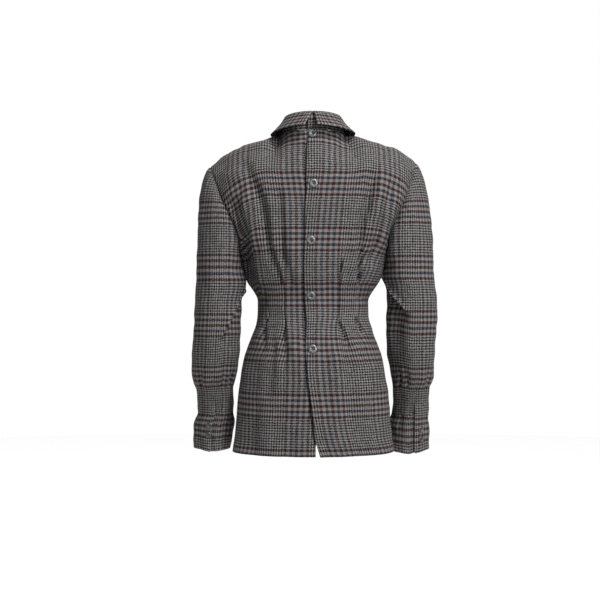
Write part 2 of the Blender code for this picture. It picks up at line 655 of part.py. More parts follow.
def fall_shape(level):
    """Outer points and normals of the turned-down leaf, from the fold to its edge."""
    angles = np.stack([round_the_neck(row["x_right"], row["x_left"], row["half_width"]) for row in FALL_LINES])
    return fall_surface(angles, level), outward(fall_surface, angles, level, -1.0)


def stand_surface(angle, level):
    """The collar stand, from the neck seam up to the underside of the fold."""
    lines = np.stack([angle] * len(FALL_LINES))
    fold = fall_surface(lines, np.array([0.0]))[0]
    up = outward(fall_surface, lines, np.array([0.0]), -1.0)[0]
    lapped = 1.0 - smooth_step(LAP_RAMP_FROM, LAP_RAMP_TO, np.abs(fold[:, 0]))
    lapped = np.where(fold[:, 1] < 0, lapped, 0.0)[:, None]
    top = fold - up * (COLLAR_CLOTH + SEAM_GAP + STAND_DROP * lapped)
    seam = neck_line(NECK_SEAM, angle)
    middle = (top + seam) / 2
    middle[:, :2] *= 1.0 + STAND_BULGE / np.linalg.norm(middle[:, :2], axis=-1, keepdims=True)
    return through(np.arange(3.0), np.stack([seam, middle, top]), level)


def stand_shape(level):
    """Outer points and normals of the stand; its right end laps over its left end."""
    angle = round_the_neck(opening_right(NECK_Z_BACK), -LEFT_EDGE_X, NECK_HALF_WIDTH)
    points = stand_surface(angle, level)
    normals = outward(stand_surface, angle, level, 1.0)
    neck_x = points[0, :, 0]
    neck_z = np.full_like(neck_x, NECK_Z_BACK)
    height = np.where(angle < 180.0, lap_height(1, neck_x, neck_z), lap_height(-1, neck_x, neck_z))
    height = np.where(np.cos(np.radians(angle)) > 0, STAND_LAP * height, 0.0)
    return points + normals * height[None, :, None], normals


def cloth_wall(collection, name, outer, normals, wall, material):
    """A closed wall from a grid of outer points and the same grid moved in along its normals."""
    rows, columns = outer.shape[:2]
    inner = outer - normals * wall
    mesh = bmesh.new()
    skins = [[[mesh.verts.new(p) for p in row] for row in skin] for skin in (outer, inner)]
    for r in range(rows - 1):
        for c in range(columns - 1):
            for skin, order in zip(skins, (1, -1)):
                ring = [skin[r][c], skin[r][c + 1], skin[r + 1][c + 1], skin[r + 1][c]]
                mesh.faces.new(ring[::order])
    rim = ([(0, c) for c in range(columns)] + [(r, columns - 1) for r in range(1, rows)]
           + [(rows - 1, c) for c in range(columns - 2, -1, -1)] + [(r, 0) for r in range(rows - 2, 0, -1)])
    for (r0, c0), (r1, c1) in zip(rim, rim[1:] + rim[:1]):
        mesh.faces.new([skins[0][r1][c1], skins[0][r0][c0], skins[1][r0][c0], skins[1][r1][c1]])
    bmesh.ops.recalc_face_normals(mesh, faces=mesh.faces)
    data = bpy.data.meshes.new(name)
    mesh.to_mesh(data)
    mesh.free()
    data.materials.append(material)
    data.shade_smooth()
    data.set_sharp_from_angle(angle=math.radians(SHARP_EDGE))
    piece = bpy.data.objects.new(name, data)
    collection.objects.link(piece)
    return piece


def turned_button(collection, name, radius, place, normal, material):
    """A button turned from its profile, seated on the cloth at place."""
    height = BUTTON_HEIGHT * radius
    data = bpy.data.meshes.new(name)
    points = [(radius * row["radius"], 0.0, height * row["height"]) for row in BUTTON_PROFILE]
    data.from_pydata(points, [(i, i + 1) for i in range(len(points) - 1)], [])
    data.materials.append(material)
    button = bpy.data.objects.new(name, data)
    collection.objects.link(button)
    screw = button.modifiers.new("Turned", "SCREW")
    screw.steps = screw.render_steps = BUTTON_SIDES
    screw.use_merge_vertices = True
    screw.merge_threshold = MERGE
    screw.use_smooth_shade = True
    button.rotation_euler = Vector(normal).to_track_quat("Z", "Y").to_euler()
    button.location = Vector(place)
    return button


def between(grid, steps):
    """A grid of points with flat steps put between its rows and columns."""
    for axis in (0, 1):
        count = grid.shape[axis]
        at = np.linspace(0.0, count - 1.0, (count - 1) * steps + 1)
        low = np.minimum(at.astype(int), count - 2)
        share = np.expand_dims(at - low, tuple(i for i in range(3) if i != axis))
        grid = np.take(grid, low, axis) * (1.0 - share) + np.take(grid, low + 1, axis) * share
    return grid


def seat_on(cloth, x, z, radius):
    """Place and direction of a round piece that lies on a cloth piece, seen from behind at x and z."""
    points = between(cloth[0], SEAT_STEPS)
    normals = between(cloth[1], SEAT_STEPS)
    away = np.hypot(points[..., 0] - x, points[..., 2] - z) + FAR * (normals[..., 1] > 0)
    spot = np.unravel_index(np.argmin(away), away.shape)
    under = away < radius
    normal = normals[under].mean(axis=0)
    normal /= np.linalg.norm(normal)
    lift = ((points[under] - points[spot]) @ normal).max()
    return points[spot] + normal * (lift + BUTTON_SEAT), normal


def plain_material(name, colour, roughness):
    """A simple dielectric of one colour."""
    material = bpy.data.materials.new(name)
    material.use_nodes = True
    shader = material.node_tree.nodes["Principled BSDF"]
    shader.inputs["Base Color"].default_value = (*colour, 1.0)
    shader.inputs["Roughness"].default_value = roughness
    shader.inputs["Metallic"].default_value = 0.0
    return material


def panel_levels(surface, top_level):
    """Levels at which a panel is cut: its table's rows, and one between rows that lie far apart."""
    middle = surface(np.array([0.5]), np.arange(top_level + 1.0))[:, 0]
    steps = np.linalg.norm(np.diff(middle, axis=0), axis=-1)
    extra = [row + 0.5 for row, step in enumerate(steps) if step > LONG_LEVEL]
    return np.array(sorted(list(range(top_level + 1)) + extra))


def build_body(collection, wool, horn):
    """The two halves of the back, the one-piece front, and the buttons on the half that laps over."""
    half_gap = np.array([0.0, SEAM_GAP / 2, 0.0])
    level = panel_levels(BACK_RIGHT, BACK_TOP)
    for name, side in (("back_left", -1), ("back_right", 1)):
        points, normals = back_half(side)(HALF_COLUMNS, level)
        points -= half_gap
        cloth_wall(collection, name, points, normals, CLOTH, wool)
    for number, spot in enumerate(BACK_BUTTONS, 1):
        place, normal = seat_on((points, normals), spot["x"], spot["z"], BACK_BUTTON_RADIUS)
        turned_button(collection, f"back_button_{number}", BACK_BUTTON_RADIUS, place, normal, horn)
    level = panel_levels(FRONT_HALF, FRONT_TOP)
    left, left_normals = front_half(-1)(HALF_COLUMNS[::-1], level)
    right, right_normals = front_half(1)(HALF_COLUMNS, level)
    points = np.concatenate([left, right[:, 1:]], axis=1)
    normals = np.concatenate([left_normals, right_normals[:, 1:]], axis=1)
    cloth_wall(collection, "front", points + half_gap, normals, CLOTH, wool)


def build_sleeves(collection, wool, horn):
    """Two pieces for each sleeve, and the buttons on the one that laps over at its vent."""
    share = np.linspace(0.0, 1.0, SLEEVE_COLUMNS + 1)
    level = np.concatenate([np.linspace(0.0, 1.0, HEAD_STEPS + 1), np.linspace(1.0, 2.0, SLEEVE_STEPS + 1)[1:]])
    for name, side in (("left", -1), ("right", 1)):
        for part, upper in (("under", False), ("upper", True)):
            points, normals = sleeve_piece(side, upper)(share, level)
            cloth_wall(collection, f"sleeve_{name}_{part}", points, normals, CLOTH, wool)
        for number, spot in enumerate(CUFF_BUTTONS[name], 1):
            place, normal = seat_on((points, normals), side * spot["x"], spot["z"], CUFF_BUTTON_RADIUS)
            turned_button(collection, f"cuff_button_{name}_{number}", CUFF_BUTTON_RADIUS, place, normal, horn)


def build_collar(collection, wool):
    """The stand round the neck and the leaf that turns down from it."""
    points, normals = stand_shape(np.linspace(0.0, 2.0, STAND_STEPS + 1))
    cloth_wall(collection, "collar_stand", points, normals, COLLAR_CLOTH, wool)
    points, normals = fall_shape(np.linspace(0.0, len(FALL_LINES) - 1, FALL_STEPS + 1))
    cloth_wall(collection, "collar_fall", points, normals, COLLAR_CLOTH, wool)


def build():
    for old in list(bpy.data.objects):
        bpy.data.objects.remove(old)
    collection = bpy.data.collections.new("back_buttoned_blazer")
    bpy.context.scene.collection.children.link(collection)
    wool = plain_material("Glen check wool", *WOOL)
    horn = plain_material("Grey horn", *HORN)
    build_body(collection, wool, horn)
    build_sleeves(collection, wool, horn)
    build_collar(collection, wool)


build()
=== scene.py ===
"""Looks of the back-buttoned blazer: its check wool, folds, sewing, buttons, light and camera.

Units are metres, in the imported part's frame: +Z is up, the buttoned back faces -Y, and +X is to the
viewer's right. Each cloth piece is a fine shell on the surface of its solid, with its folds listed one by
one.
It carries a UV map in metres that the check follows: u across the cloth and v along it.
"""
import math

import bmesh
import bpy
import numpy as np
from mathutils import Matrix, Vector


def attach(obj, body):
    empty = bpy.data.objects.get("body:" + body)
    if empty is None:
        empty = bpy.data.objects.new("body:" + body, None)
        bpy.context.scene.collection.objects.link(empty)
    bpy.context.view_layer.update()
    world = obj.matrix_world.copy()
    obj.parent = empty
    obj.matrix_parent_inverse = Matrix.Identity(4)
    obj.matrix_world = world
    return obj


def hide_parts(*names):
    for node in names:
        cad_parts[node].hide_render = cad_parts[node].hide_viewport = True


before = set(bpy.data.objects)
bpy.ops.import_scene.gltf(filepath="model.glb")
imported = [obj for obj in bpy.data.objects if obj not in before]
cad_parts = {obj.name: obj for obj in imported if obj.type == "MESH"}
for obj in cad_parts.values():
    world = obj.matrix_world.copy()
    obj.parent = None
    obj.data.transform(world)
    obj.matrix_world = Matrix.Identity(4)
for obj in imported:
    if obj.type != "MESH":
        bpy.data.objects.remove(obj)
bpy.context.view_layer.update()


def table(columns, *rows):
    """Rows of numbers whose columns are read by name."""
    return np.array(list(rows), dtype=[(name, float) for name in columns.split()])


# Columns that several tables share.
TUCK = "z x depth width intake"
FOLD = "x_low z_low x_high z_high depth_low depth_high width roll"
BULGE = "at z height across up"

CLOTH = 0.0020            # wall of the wool cloth
COLLAR_CLOTH = 0.0026     # wall of the interlined collar pieces
SEAM_GAP = 0.0003         # air left between two pieces that are sewn together
ARMHOLE_GAP = -0.0012     # the sleeve head starts this far outside the armhole edge: tucked in under it

# Body below the arms: one row for each level, from the hem up. Half width at the side seam, and how far
# the middle of the back and of the front lie from the side seams.
BODY_LEVELS = table(
    "z half_width back front",
    (-0.672, 0.173, 0.116, 0.108), (-0.64, 0.1685, 0.116, 0.108), (-0.6, 0.165, 0.1165, 0.1075),
    (-0.555, 0.1615, 0.1165, 0.1065), (-0.51, 0.155, 0.116, 0.105), (-0.475, 0.149, 0.1135, 0.102),
    (-0.445, 0.1395, 0.1075, 0.098), (-0.42, 0.1295, 0.0985, 0.093), (-0.4, 0.1222, 0.0912, 0.089),
    (-0.386, 0.1198, 0.0868, 0.0868), (-0.35, 0.119, 0.0825, 0.0862), (-0.332, 0.1265, 0.085, 0.09),
    (-0.31, 0.1415, 0.092, 0.1), (-0.285, 0.1515, 0.0985, 0.112), (-0.264, 0.1562, 0.102, 0.121),
)

# Levels beside the armholes: height at the middle and at the armhole edge, the edge's place, how far the
# middle lies out, and the angle in plan at which the cloth runs into the seam.
BACK_LEVELS = table(
    "z_middle z_edge edge_x edge_y middle angle",
    (-0.226, -0.232, 0.158, -0.046, 0.1035, 62), (-0.196, -0.205, 0.163, -0.061, 0.1042, 46),
    (-0.155, -0.166, 0.18, -0.064, 0.1048, 38), (-0.113, -0.13, 0.196, -0.056, 0.104, 36),
    (-0.078, -0.1, 0.207, -0.043, 0.099, 38),
)
FRONT_LEVELS = table(
    "z_middle z_edge edge_x edge_y middle angle",
    (-0.226, -0.226, 0.164, 0.054, 0.1275, 60), (-0.182, -0.182, 0.179, 0.066, 0.1235, 46),
    (-0.136, -0.142, 0.195, 0.061, 0.1085, 38), (-0.096, -0.102, 0.208, 0.047, 0.093, 38),
)
ROW_FULLNESS = 0.5523     # handle of a quarter oval, as a share of its half axis
EDGE_DROOP = 4            # how late a row that ends lower at the armhole starts to drop
KNOT_SHARES = np.array([0.25, 0.5, 0.75])    # columns along which the distance between rows is measured

# Neck and shoulder: the neck is an oval, and the shoulder seam leaves it at its side.
NECK_HALF_WIDTH = 0.0680
NECK_BACK = 0.0620
NECK_FRONT = 0.0620
NECK_Z_BACK = 0.0120
NECK_Z_SIDE = 0.0080
NECK_Z_FRONT = -0.0460
NECK_SIDE_Y = 0.0030
NECK_SHARE = 1.0 / 3.0    # share of a half panel's columns that end on the neck
NECK_EASE = 0.06          # share before it over which the edge turns from the neck to the shoulder
SHOULDER_SEAM = table(
    "x y z",
    (0.068, 0.003, 0.008), (0.088, 0.003, 0.002), (0.125, 0.0035, -0.011), (0.157, 0.004, -0.0225),
    (0.187, 0.0045, -0.0345), (0.208, 0.005, -0.05), (0.221, 0.005, -0.061),
)
# Line a finger's width off the neck and shoulder edge, where the cloth rolls over: its shift from that edge.
BACK_ROLL = table(
    "share x y z",
    (0, 0, -0.01, -0.024), (0.3333, 0.004, -0.017, -0.014), (0.5, 0, -0.026, -0.007),
    (0.8, -0.001, -0.025, -0.009), (1, -0.003, -0.027, -0.011),
)
FRONT_ROLL = table(
    "share x y z",
    (0, 0, 0.011, -0.022), (0.3333, 0.004, 0.018, -0.016), (0.5, 0, 0.027, -0.009),
    (0.8, -0.001, 0.025, -0.011), (1, -0.003, 0.027, -0.012),
)

# Closing at the middle of the back. The right half's edge wanders, and stands off between the buttons.
RIGHT_EDGE = table(
    "z x gape",
    (-0.672, 0.014, 0.003), (-0.64, 0.005, 0.0032), (-0.592, -0.001, 0.004), (-0.548, -0.0057, 0.004),
    (-0.505, -0.0115, 0.0026), (-0.449, -0.0156, 0), (-0.395, -0.013, 0.004), (-0.338, -0.0182, 0),
    (-0.28, -0.0188, 0.0008), (-0.223, -0.018, 0), (-0.16, -0.0165, 0.001), (-0.105, -0.0145, 0),
    (-0.04, -0.013, 0.0036), (0.012, -0.0115, 0),
)
LEFT_EDGE_X = 0.0040      # the left half runs on under the right one to here
LAP_SHIFT = 0.0017        # the upper layer stands this far out at the lap, and the lower one this far in
LAP_RAMP_FROM = 0.012     # the layers part between these distances from the middle
LAP_RAMP_TO = 0.038

# Sleeves: outer and inner edge seen from behind, at levels below the underarm.
LEFT_SLEEVE = table(
    "z outer inner",
    (-0.3, 0.25, 0.1505), (-0.322, 0.2512, 0.149), (-0.35, 0.253, 0.1535), (-0.385, 0.255, 0.1545),
    (-0.435, 0.2585, 0.157), (-0.488, 0.2615, 0.161), (-0.514, 0.261, 0.1645), (-0.528, 0.2578, 0.169),
    (-0.539, 0.2535, 0.173), (-0.56, 0.2515, 0.1725), (-0.592, 0.2505, 0.1745), (-0.606, 0.257, 0.174),
    (-0.62, 0.2612, 0.1768), (-0.645, 0.262, 0.18), (-0.6695, 0.261, 0.182),
)
RIGHT_SLEEVE = table(
    "z outer inner",
    (-0.3, 0.26, 0.152), (-0.322, 0.2625, 0.1575), (-0.35, 0.265, 0.1585), (-0.385, 0.266, 0.157),
    (-0.435, 0.2635, 0.158), (-0.488, 0.2615, 0.1645), (-0.514, 0.2605, 0.169), (-0.528, 0.257, 0.171),
    (-0.539, 0.2525, 0.1725), (-0.56, 0.2515, 0.1735), (-0.592, 0.2525, 0.174), (-0.606, 0.253, 0.1725),
    (-0.62, 0.2555, 0.169), (-0.645, 0.256, 0.168), (-0.6705, 0.255, 0.169),
)
# How far the sleeve reaches back and forward: the elbow hangs back, the wrist forward.
SLEEVE_DEPTH = table(
    "z back front",
    (-0.3, -0.072, 0.066), (-0.35, -0.07, 0.06), (-0.4, -0.066, 0.056), (-0.45, -0.058, 0.06),
    (-0.49, -0.046, 0.066), (-0.514, -0.036, 0.071), (-0.528, -0.026, 0.071), (-0.539, -0.016, 0.069),
    (-0.56, -0.006, 0.074), (-0.592, 0.001, 0.083), (-0.62, 0.005, 0.096), (-0.6705, 0.008, 0.103),
)
# Direction in which the sleeve head leaves the armhole, times its pull, at the four quarters.
HEAD_PULL = table(
    "x y z",
    (0.092, 0, -0.016), (0.048, -0.042, -0.042), (0.001, 0, -0.02), (0.048, 0.042, -0.042),
)
HEAD_END_PULL = (0.235, 0.070, 0.026, 0.070)   # pull down the sleeve, at the same quarters
HEAD_END_WAY = (0.02, 0.0, -1.0)               # direction in which the head runs into the sleeve
BACK_SEAM = {"left": 91.0, "right": 80.0}      # degrees from the sleeve's outer side, over its back
FRONT_SEAM = 265.0
SLEEVE_RADIUS = 0.040                          # turns lengths round the sleeve into degrees

# Collar leaf: lines round the neck from the fold to its edge. Half width, how far out at back and front,
# height at back, side and front, and how far its two ends stand off the middle of the back.
FALL_LINES = table(
    "half_width back front z_back z_side z_front x_right x_left",
    (0.053, 0.0545, 0.052, 0.051, 0.0485, -0.0075, 0.0006, 0.0006),
    (0.059, 0.06, 0.057, 0.0505, 0.0468, -0.01, 0.0016, 0.003),
    (0.0715, 0.0715, 0.069, 0.0385, 0.029, -0.03, 0.0046, 0.01),
    (0.0915, 0.0925, 0.085, 0.0205, 0.007, -0.056, 0.0088, 0.019),
)
STAND_BULGE = 0.0020      # the stand bows out this far between the neck seam and the fold
STAND_LIFT = 0.0008       # the stand starts this far above the neck edge
NECK_SEAM = table("half_width back front z_back z_side z_front",
                  (NECK_HALF_WIDTH, NECK_BACK, NECK_FRONT, NECK_Z_BACK + STAND_LIFT, NECK_Z_SIDE + STAND_LIFT,
                   NECK_Z_FRONT + STAND_LIFT))[0]
STAND_DROP = 0.0004       # the stand is cut this much lower where its ends lap
STAND_LAP = 1.4           # its thicker ends stand apart this many times as far as the body's

# Tuck lines of each half panel, from the hem up: how far from the middle the fold runs, the height and width
# of its step, and the cloth it takes in. At the waist it is stitched down; above and below it opens into a
# soft fold.
RIGHT_TUCKS = (
    table(
        TUCK,
        (-0.69, 0.078, 0, 0.006, 0), (-0.452, 0.078, 0, 0.006, 0), (-0.436, 0.073, 0.006, 0.0042, 0.004),
        (-0.42, 0.067, 0.01, 0.0034, 0.009), (-0.404, 0.0605, 0.01, 0.0026, 0.015),
        (-0.389, 0.0548, 0.006, 0.0016, 0.02), (-0.38, 0.0545, 0.0026, 0.001, 0.02),
        (-0.35, 0.0548, 0.0022, 0.001, 0.02), (-0.318, 0.055, 0.0026, 0.001, 0.02),
        (-0.308, 0.0555, 0.009, 0.0014, 0.018), (-0.28, 0.0595, 0.011, 0.0026, 0.01),
        (-0.25, 0.064, 0.004, 0.005, 0.003), (-0.22, 0.068, 0, 0.008, 0), (0, 0.07, 0, 0.008, 0),
    ),
    table(
        TUCK,
        (-0.69, 0.112, 0, 0.006, 0), (-0.43, 0.106, 0, 0.006, 0), (-0.408, 0.0995, 0.008, 0.0034, 0.008),
        (-0.39, 0.0915, 0.008, 0.002, 0.019), (-0.38, 0.0905, 0.0026, 0.001, 0.02),
        (-0.35, 0.0925, 0.0022, 0.001, 0.02), (-0.318, 0.0945, 0.0026, 0.001, 0.02),
        (-0.308, 0.096, 0.009, 0.0014, 0.018), (-0.285, 0.0985, 0.012, 0.0024, 0.015),
        (-0.262, 0.1, 0.012, 0.0038, 0.012), (-0.235, 0.1025, 0.015, 0.0056, 0.008),
        (-0.203, 0.1065, 0.017, 0.0064, 0.005), (-0.162, 0.1168, 0.019, 0.0068, 0.002),
        (-0.104, 0.1313, 0.015, 0.0074, 0), (-0.062, 0.14, 0, 0.01, 0), (0, 0.134, 0, 0.011, 0),
    ),
)
LEFT_TUCKS = (
    table(
        TUCK,
        (-0.69, 0.062, 0, 0.006, 0), (-0.5, 0.058, 0, 0.006, 0), (-0.45, 0.059, 0.006, 0.005, 0.006),
        (-0.415, 0.057, 0.011, 0.0034, 0.014), (-0.396, 0.056, 0.008, 0.0014, 0.02),
        (-0.385, 0.0585, 0.0026, 0.001, 0.02), (-0.35, 0.0595, 0.0022, 0.001, 0.02),
        (-0.32, 0.061, 0.0028, 0.001, 0.02), (-0.308, 0.063, 0.009, 0.0022, 0.018),
        (-0.29, 0.068, 0.0125, 0.004, 0.015), (-0.262, 0.078, 0.015, 0.0052, 0.012),
        (-0.234, 0.086, 0.0165, 0.0058, 0.01), (-0.19, 0.0925, 0.018, 0.007, 0.007),
        (-0.141, 0.1005, 0.017, 0.008, 0.004), (-0.106, 0.115, 0.014, 0.0085, 0.002),
        (-0.073, 0.1315, 0.007, 0.009, 0), (-0.045, 0.142, 0, 0.01, 0), (0, 0.145, 0, 0.011, 0),
    ),
    table(
        TUCK,
        (-0.69, 0.105, 0, 0.006, 0), (-0.49, 0.0985, 0, 0.006, 0), (-0.44, 0.099, 0.006, 0.005, 0.006),
        (-0.405, 0.099, 0.011, 0.0034, 0.014), (-0.389, 0.094, 0.008, 0.0016, 0.02),
        (-0.38, 0.092, 0.0026, 0.001, 0.02), (-0.35, 0.098, 0.0022, 0.001, 0.02),
        (-0.326, 0.1035, 0.0028, 0.001, 0.02), (-0.314, 0.113, 0.0064, 0.0022, 0.016),
        (-0.29, 0.1215, 0.0086, 0.0044, 0.012), (-0.233, 0.133, 0.0072, 0.006, 0.006),
        (-0.189, 0.1395, 0.0048, 0.0074, 0.003), (-0.135, 0.156, 0.0014, 0.009, 0),
        (-0.1, 0.162, 0, 0.01, 0), (0, 0.166, 0, 0.01, 0),
    ),
)
FRONT_TUCKS = (
    table(
        TUCK,
        (-0.69, 0.072, 0, 0.006, 0), (-0.47, 0.062, 0, 0.006, 0), (-0.42, 0.058, 0.0056, 0.0042, 0.012),
        (-0.391, 0.055, 0.0056, 0.0016, 0.02), (-0.38, 0.055, 0.0026, 0.001, 0.02),
        (-0.35, 0.0553, 0.0022, 0.001, 0.02), (-0.32, 0.0558, 0.0026, 0.001, 0.02),
        (-0.308, 0.057, 0.007, 0.0022, 0.018), (-0.275, 0.063, 0.0095, 0.0046, 0.01),
        (-0.225, 0.071, 0.003, 0.007, 0.003), (-0.19, 0.074, 0, 0.008, 0), (0, 0.076, 0, 0.008, 0),
    ),
    table(
        TUCK,
        (-0.69, 0.112, 0, 0.006, 0), (-0.45, 0.102, 0, 0.006, 0), (-0.415, 0.096, 0.0052, 0.0042, 0.012),
        (-0.389, 0.091, 0.0054, 0.0016, 0.02), (-0.38, 0.0912, 0.0026, 0.001, 0.02),
        (-0.35, 0.0926, 0.0022, 0.001, 0.02), (-0.32, 0.0945, 0.0026, 0.001, 0.02),
        (-0.308, 0.0965, 0.0066, 0.0022, 0.018), (-0.265, 0.106, 0.0085, 0.0046, 0.01),
        (-0.2, 0.118, 0.0024, 0.007, 0.002), (-0.165, 0.122, 0, 0.008, 0), (0, 0.13, 0, 0.008, 0),
    ),
)
TUCK_ROLL = 0.024         # the raised side of a tuck falls back to the panel over this width
FOLD_RISE = 0.55          # share of a fold's height by which its one side rises ...
FOLD_DROP = 0.60          # ... and its other side drops
FOLD_VALLEY = 1.6         # how wide the dropped side is, in widths of the fold
FOLD_END = 0.020          # a soft fold fades out over this length past its ends
SEAM_CALM = 0.90          # folds flatten out over the last columns before a seam, from this share on

# Soft folds and drag lines besides the tucks: two ends, height at each, half width of the step and width of
# the roll.
RIGHT_FOLDS = table(
    FOLD,
    (0.131, -0.255, 0.164, -0.135, 0.012, 0.01, 0.0056, 0.014),
    (0.074, -0.3, 0.081, -0.225, 0.007, 0.002, 0.006, 0.015),
    (0.118, -0.3, 0.14, -0.235, 0.004, 0, 0.006, 0.016),
    (0.036, -0.64, 0.04, -0.45, 0.008, 0.005, 0.014, 0.04),
    (0.092, -0.6, 0.082, -0.45, 0.004, 0.009, 0.012, 0.03),
    (0.125, -0.66, 0.115, -0.48, 0.008, 0.003, 0.016, 0.036),
    (0.03, -0.19, 0.035, -0.06, 0.002, 0, 0.014, 0.03),
)
LEFT_FOLDS = table(
    FOLD,
    (0.056, -0.25, 0.064, -0.14, 0.014, 0.012, 0.006, 0.016),
    (0.044, -0.3, 0.056, -0.25, 0.008, 0.006, 0.005, 0.014),
    (0.084, -0.56, 0.076, -0.45, 0.003, 0.012, 0.008, 0.022),
    (0.058, -0.56, 0.051, -0.45, 0.003, 0.011, 0.007, 0.022),
    (0.034, -0.65, 0.04, -0.47, 0.006, 0.003, 0.016, 0.042),
    (0.115, -0.66, 0.102, -0.49, 0.009, 0.004, 0.016, 0.036),
    (0.15, -0.14, 0.135, -0.08, 0.006, 0, 0.007, 0.018),
)
FRONT_FOLDS = table(
    FOLD,
    (0.12, -0.3, 0.145, -0.21, 0.0034, 0, 0.0065, 0.016),
    (0.035, -0.65, 0.042, -0.46, 0.0028, 0, 0.018, 0.042),
    (0.118, -0.66, 0.106, -0.48, 0.003, 0, 0.017, 0.04),
    (0.15, -0.19, 0.105, -0.11, 0.0018, 0, 0.01, 0.024),
)
# Beside the left arm the back falls in behind a long fold: where it starts and how deep it is.
ARM_HOLLOW = table(
    "z x depth",
    (-0.69, 0.098, 0), (-0.35, 0.106, 0), (-0.327, 0.117, 0.007), (-0.29, 0.125, 0.016),
    (-0.244, 0.131, 0.017), (-0.197, 0.1395, 0.012), (-0.15, 0.153, 0.006), (-0.12, 0.169, 0), (0, 0.18, 0),
)
ARM_HOLLOW_STEP = 0.005
# The shoulders stand a little fuller than their seams, the right one more: lift at each distance from the
# middle.
SHOULDER_LIFT = {
    -1: table("x lift", (0.08, 0), (0.125, 0.003), (0.15, 0.0055), (0.175, 0.0015), (0.19, 0)),
    1: table(
        "x lift",
        (0.07, 0), (0.11, 0.0062), (0.16, 0.0076), (0.19, 0.0098), (0.215, 0.0105), (0.245, 0.004),
        (0.27, 0),
    ),
}
SHOULDER_LIFT_HIGH = (-0.140, -0.050)    # none below these heights, all above them
# Below the tucks the skirt swells out in a few soft places: where, how far, and over which width and height.
SKIRT_BULGES = {
    -1: table(BULGE, (0.066, -0.49, 0.0065, 0.015, 0.055), (0.105, -0.56, 0.004, 0.018, 0.06)),
    1: table(BULGE, (0.043, -0.5, 0.0055, 0.018, 0.055), (0.108, -0.52, 0.0045, 0.018, 0.06)),
}
# The left half falls in beside the edge that laps over it, most where that edge stands off.
LAP_GROOVE = table(
    "z depth",
    (-0.672, 0.009), (-0.52, 0.007), (-0.45, 0.0055), (-0.395, 0.008), (-0.338, 0.0055), (-0.105, 0.006),
    (-0.04, 0.007), (-0.012, 0.003), (0.004, 0), (0.012, 0),
)
LAP_GROOVE_WIDTH = 0.006
FRONT_UNEVEN = {-1: 0.85, 1: 1.0}    # the folds of the front's two halves are not equally deep

# Elbow crease: it runs from the inner side down over the back, and the cloth below it falls in.
ELBOW_CREASE = {
    "left": table("angle z", (172, -0.335), (140, -0.372), (110, -0.425)),
    "right": table("angle z", (172, -0.3), (152, -0.333), (123, -0.36), (108, -0.376)),
}
ELBOW_DEPTH = {"left": 0.0090, "right": 0.0200}
ELBOW_SPREAD = {"left": 0.070, "right": 0.130}    # height over which the hollow under the crease fades
ELBOW_LIP = 0.005         # height over which the cloth turns in at the crease
ELBOW_STARTS = (94.0, 136.0)     # the hollow deepens between these degrees ...
ELBOW_STOPS = (142.0, 184.0)     # ... and fades between these
ELBOW_POCKET = 0.45       # right under the crease the hollow is deeper by this share ...
ELBOW_POCKET_HIGH = 0.022    # ... over this height
ELBOW_EDGE = 0.0045       # the cloth above the crease stands up this far
ELBOW_EDGE_FULL = 120.0   # that edge is full from here ...
ELBOW_EDGE_STOPS = (170.0, 200.0)    # ... and fades between these
ELBOW_TWIST = 0.15        # how steeply the check runs up in the hollow ...
ELBOW_TWIST_TURN = 90.0   # ... over this many degrees ...
ELBOW_TWIST_STOPS = 190.0    # ... and it runs level again from here to the front seam

# Soft folds of the sleeves, in arc from the outer side over the back (at SLEEVE_ARC) and height.
SLEEVE_ARC = 0.0575
SLEEVE_FOLDS = {
    "left": table(
        FOLD,
        (0.13, -0.47, 0.112, -0.39, 0, 0.003, 0.006, 0.016),
        (0.06, -0.48, 0.048, -0.4, 0.0016, 0, 0.008, 0.018),
        (0.16, -0.29, 0.12, -0.25, 0.003, 0, 0.007, 0.016),
        (0.02, -0.42, 0.025, -0.3, 0.0014, 0, 0.012, 0.026),
        (0.25, -0.44, 0.22, -0.37, 0.004, 0, 0.007, 0.018),
        (0.27, -0.4, 0.235, -0.34, 0.0034, 0, 0.006, 0.016),
        (0.31, -0.47, 0.29, -0.38, 0.0026, 0, 0.008, 0.02),
    ),
    "right": table(
        FOLD,
        (0.15, -0.28, 0.115, -0.235, 0.003, 0, 0.007, 0.016),
        (0.056, -0.47, 0.062, -0.39, 0.0018, 0, 0.008, 0.018),
        (0.018, -0.43, 0.024, -0.31, 0.0014, 0, 0.012, 0.026),
        (0.25, -0.43, 0.218, -0.36, 0.0044, 0, 0.007, 0.018),
        (0.275, -0.41, 0.24, -0.35, 0.0032, 0, 0.006, 0.016),
        (0.31, -0.48, 0.295, -0.39, 0.0028, 0, 0.008, 0.02),
    ),
}

# Bulges of the sleeves, in the same way but in degrees round the sleeve: the inner side rests against the
# body below the underarm, and the cuff puffs out at its top.
SLEEVE_BULGES = {
    "left": table(
        BULGE,
        (180, -0.308, 0.0075, 55, 0.02), (178, -0.618, 0.003, 40, 0.016), (180, -0.642, 0.0045, 42, 0.02),
    ),
    "right": table(
        BULGE,
        (180, -0.3, 0.003, 50, 0.02), (178, -0.617, 0.007, 42, 0.015), (178, -0.655, 0.005, 42, 0.025),
    ),
}
# Low slow waves that keep the cloth from lying too smooth: height, length across and up the cloth, start.
CLOTH_WAVES = table(
    "height across up start",
    (0.0007, 0.071, 0.19, 0.3), (0.0006, -0.047, 0.118, 1.7), (0.0005, 0.16, 0.041, 2.9),
    (0.0003, 0.033, -0.067, 4.1),
)
WAVES_FROM = 0.5          # share of the sleeve head by which these waves have started

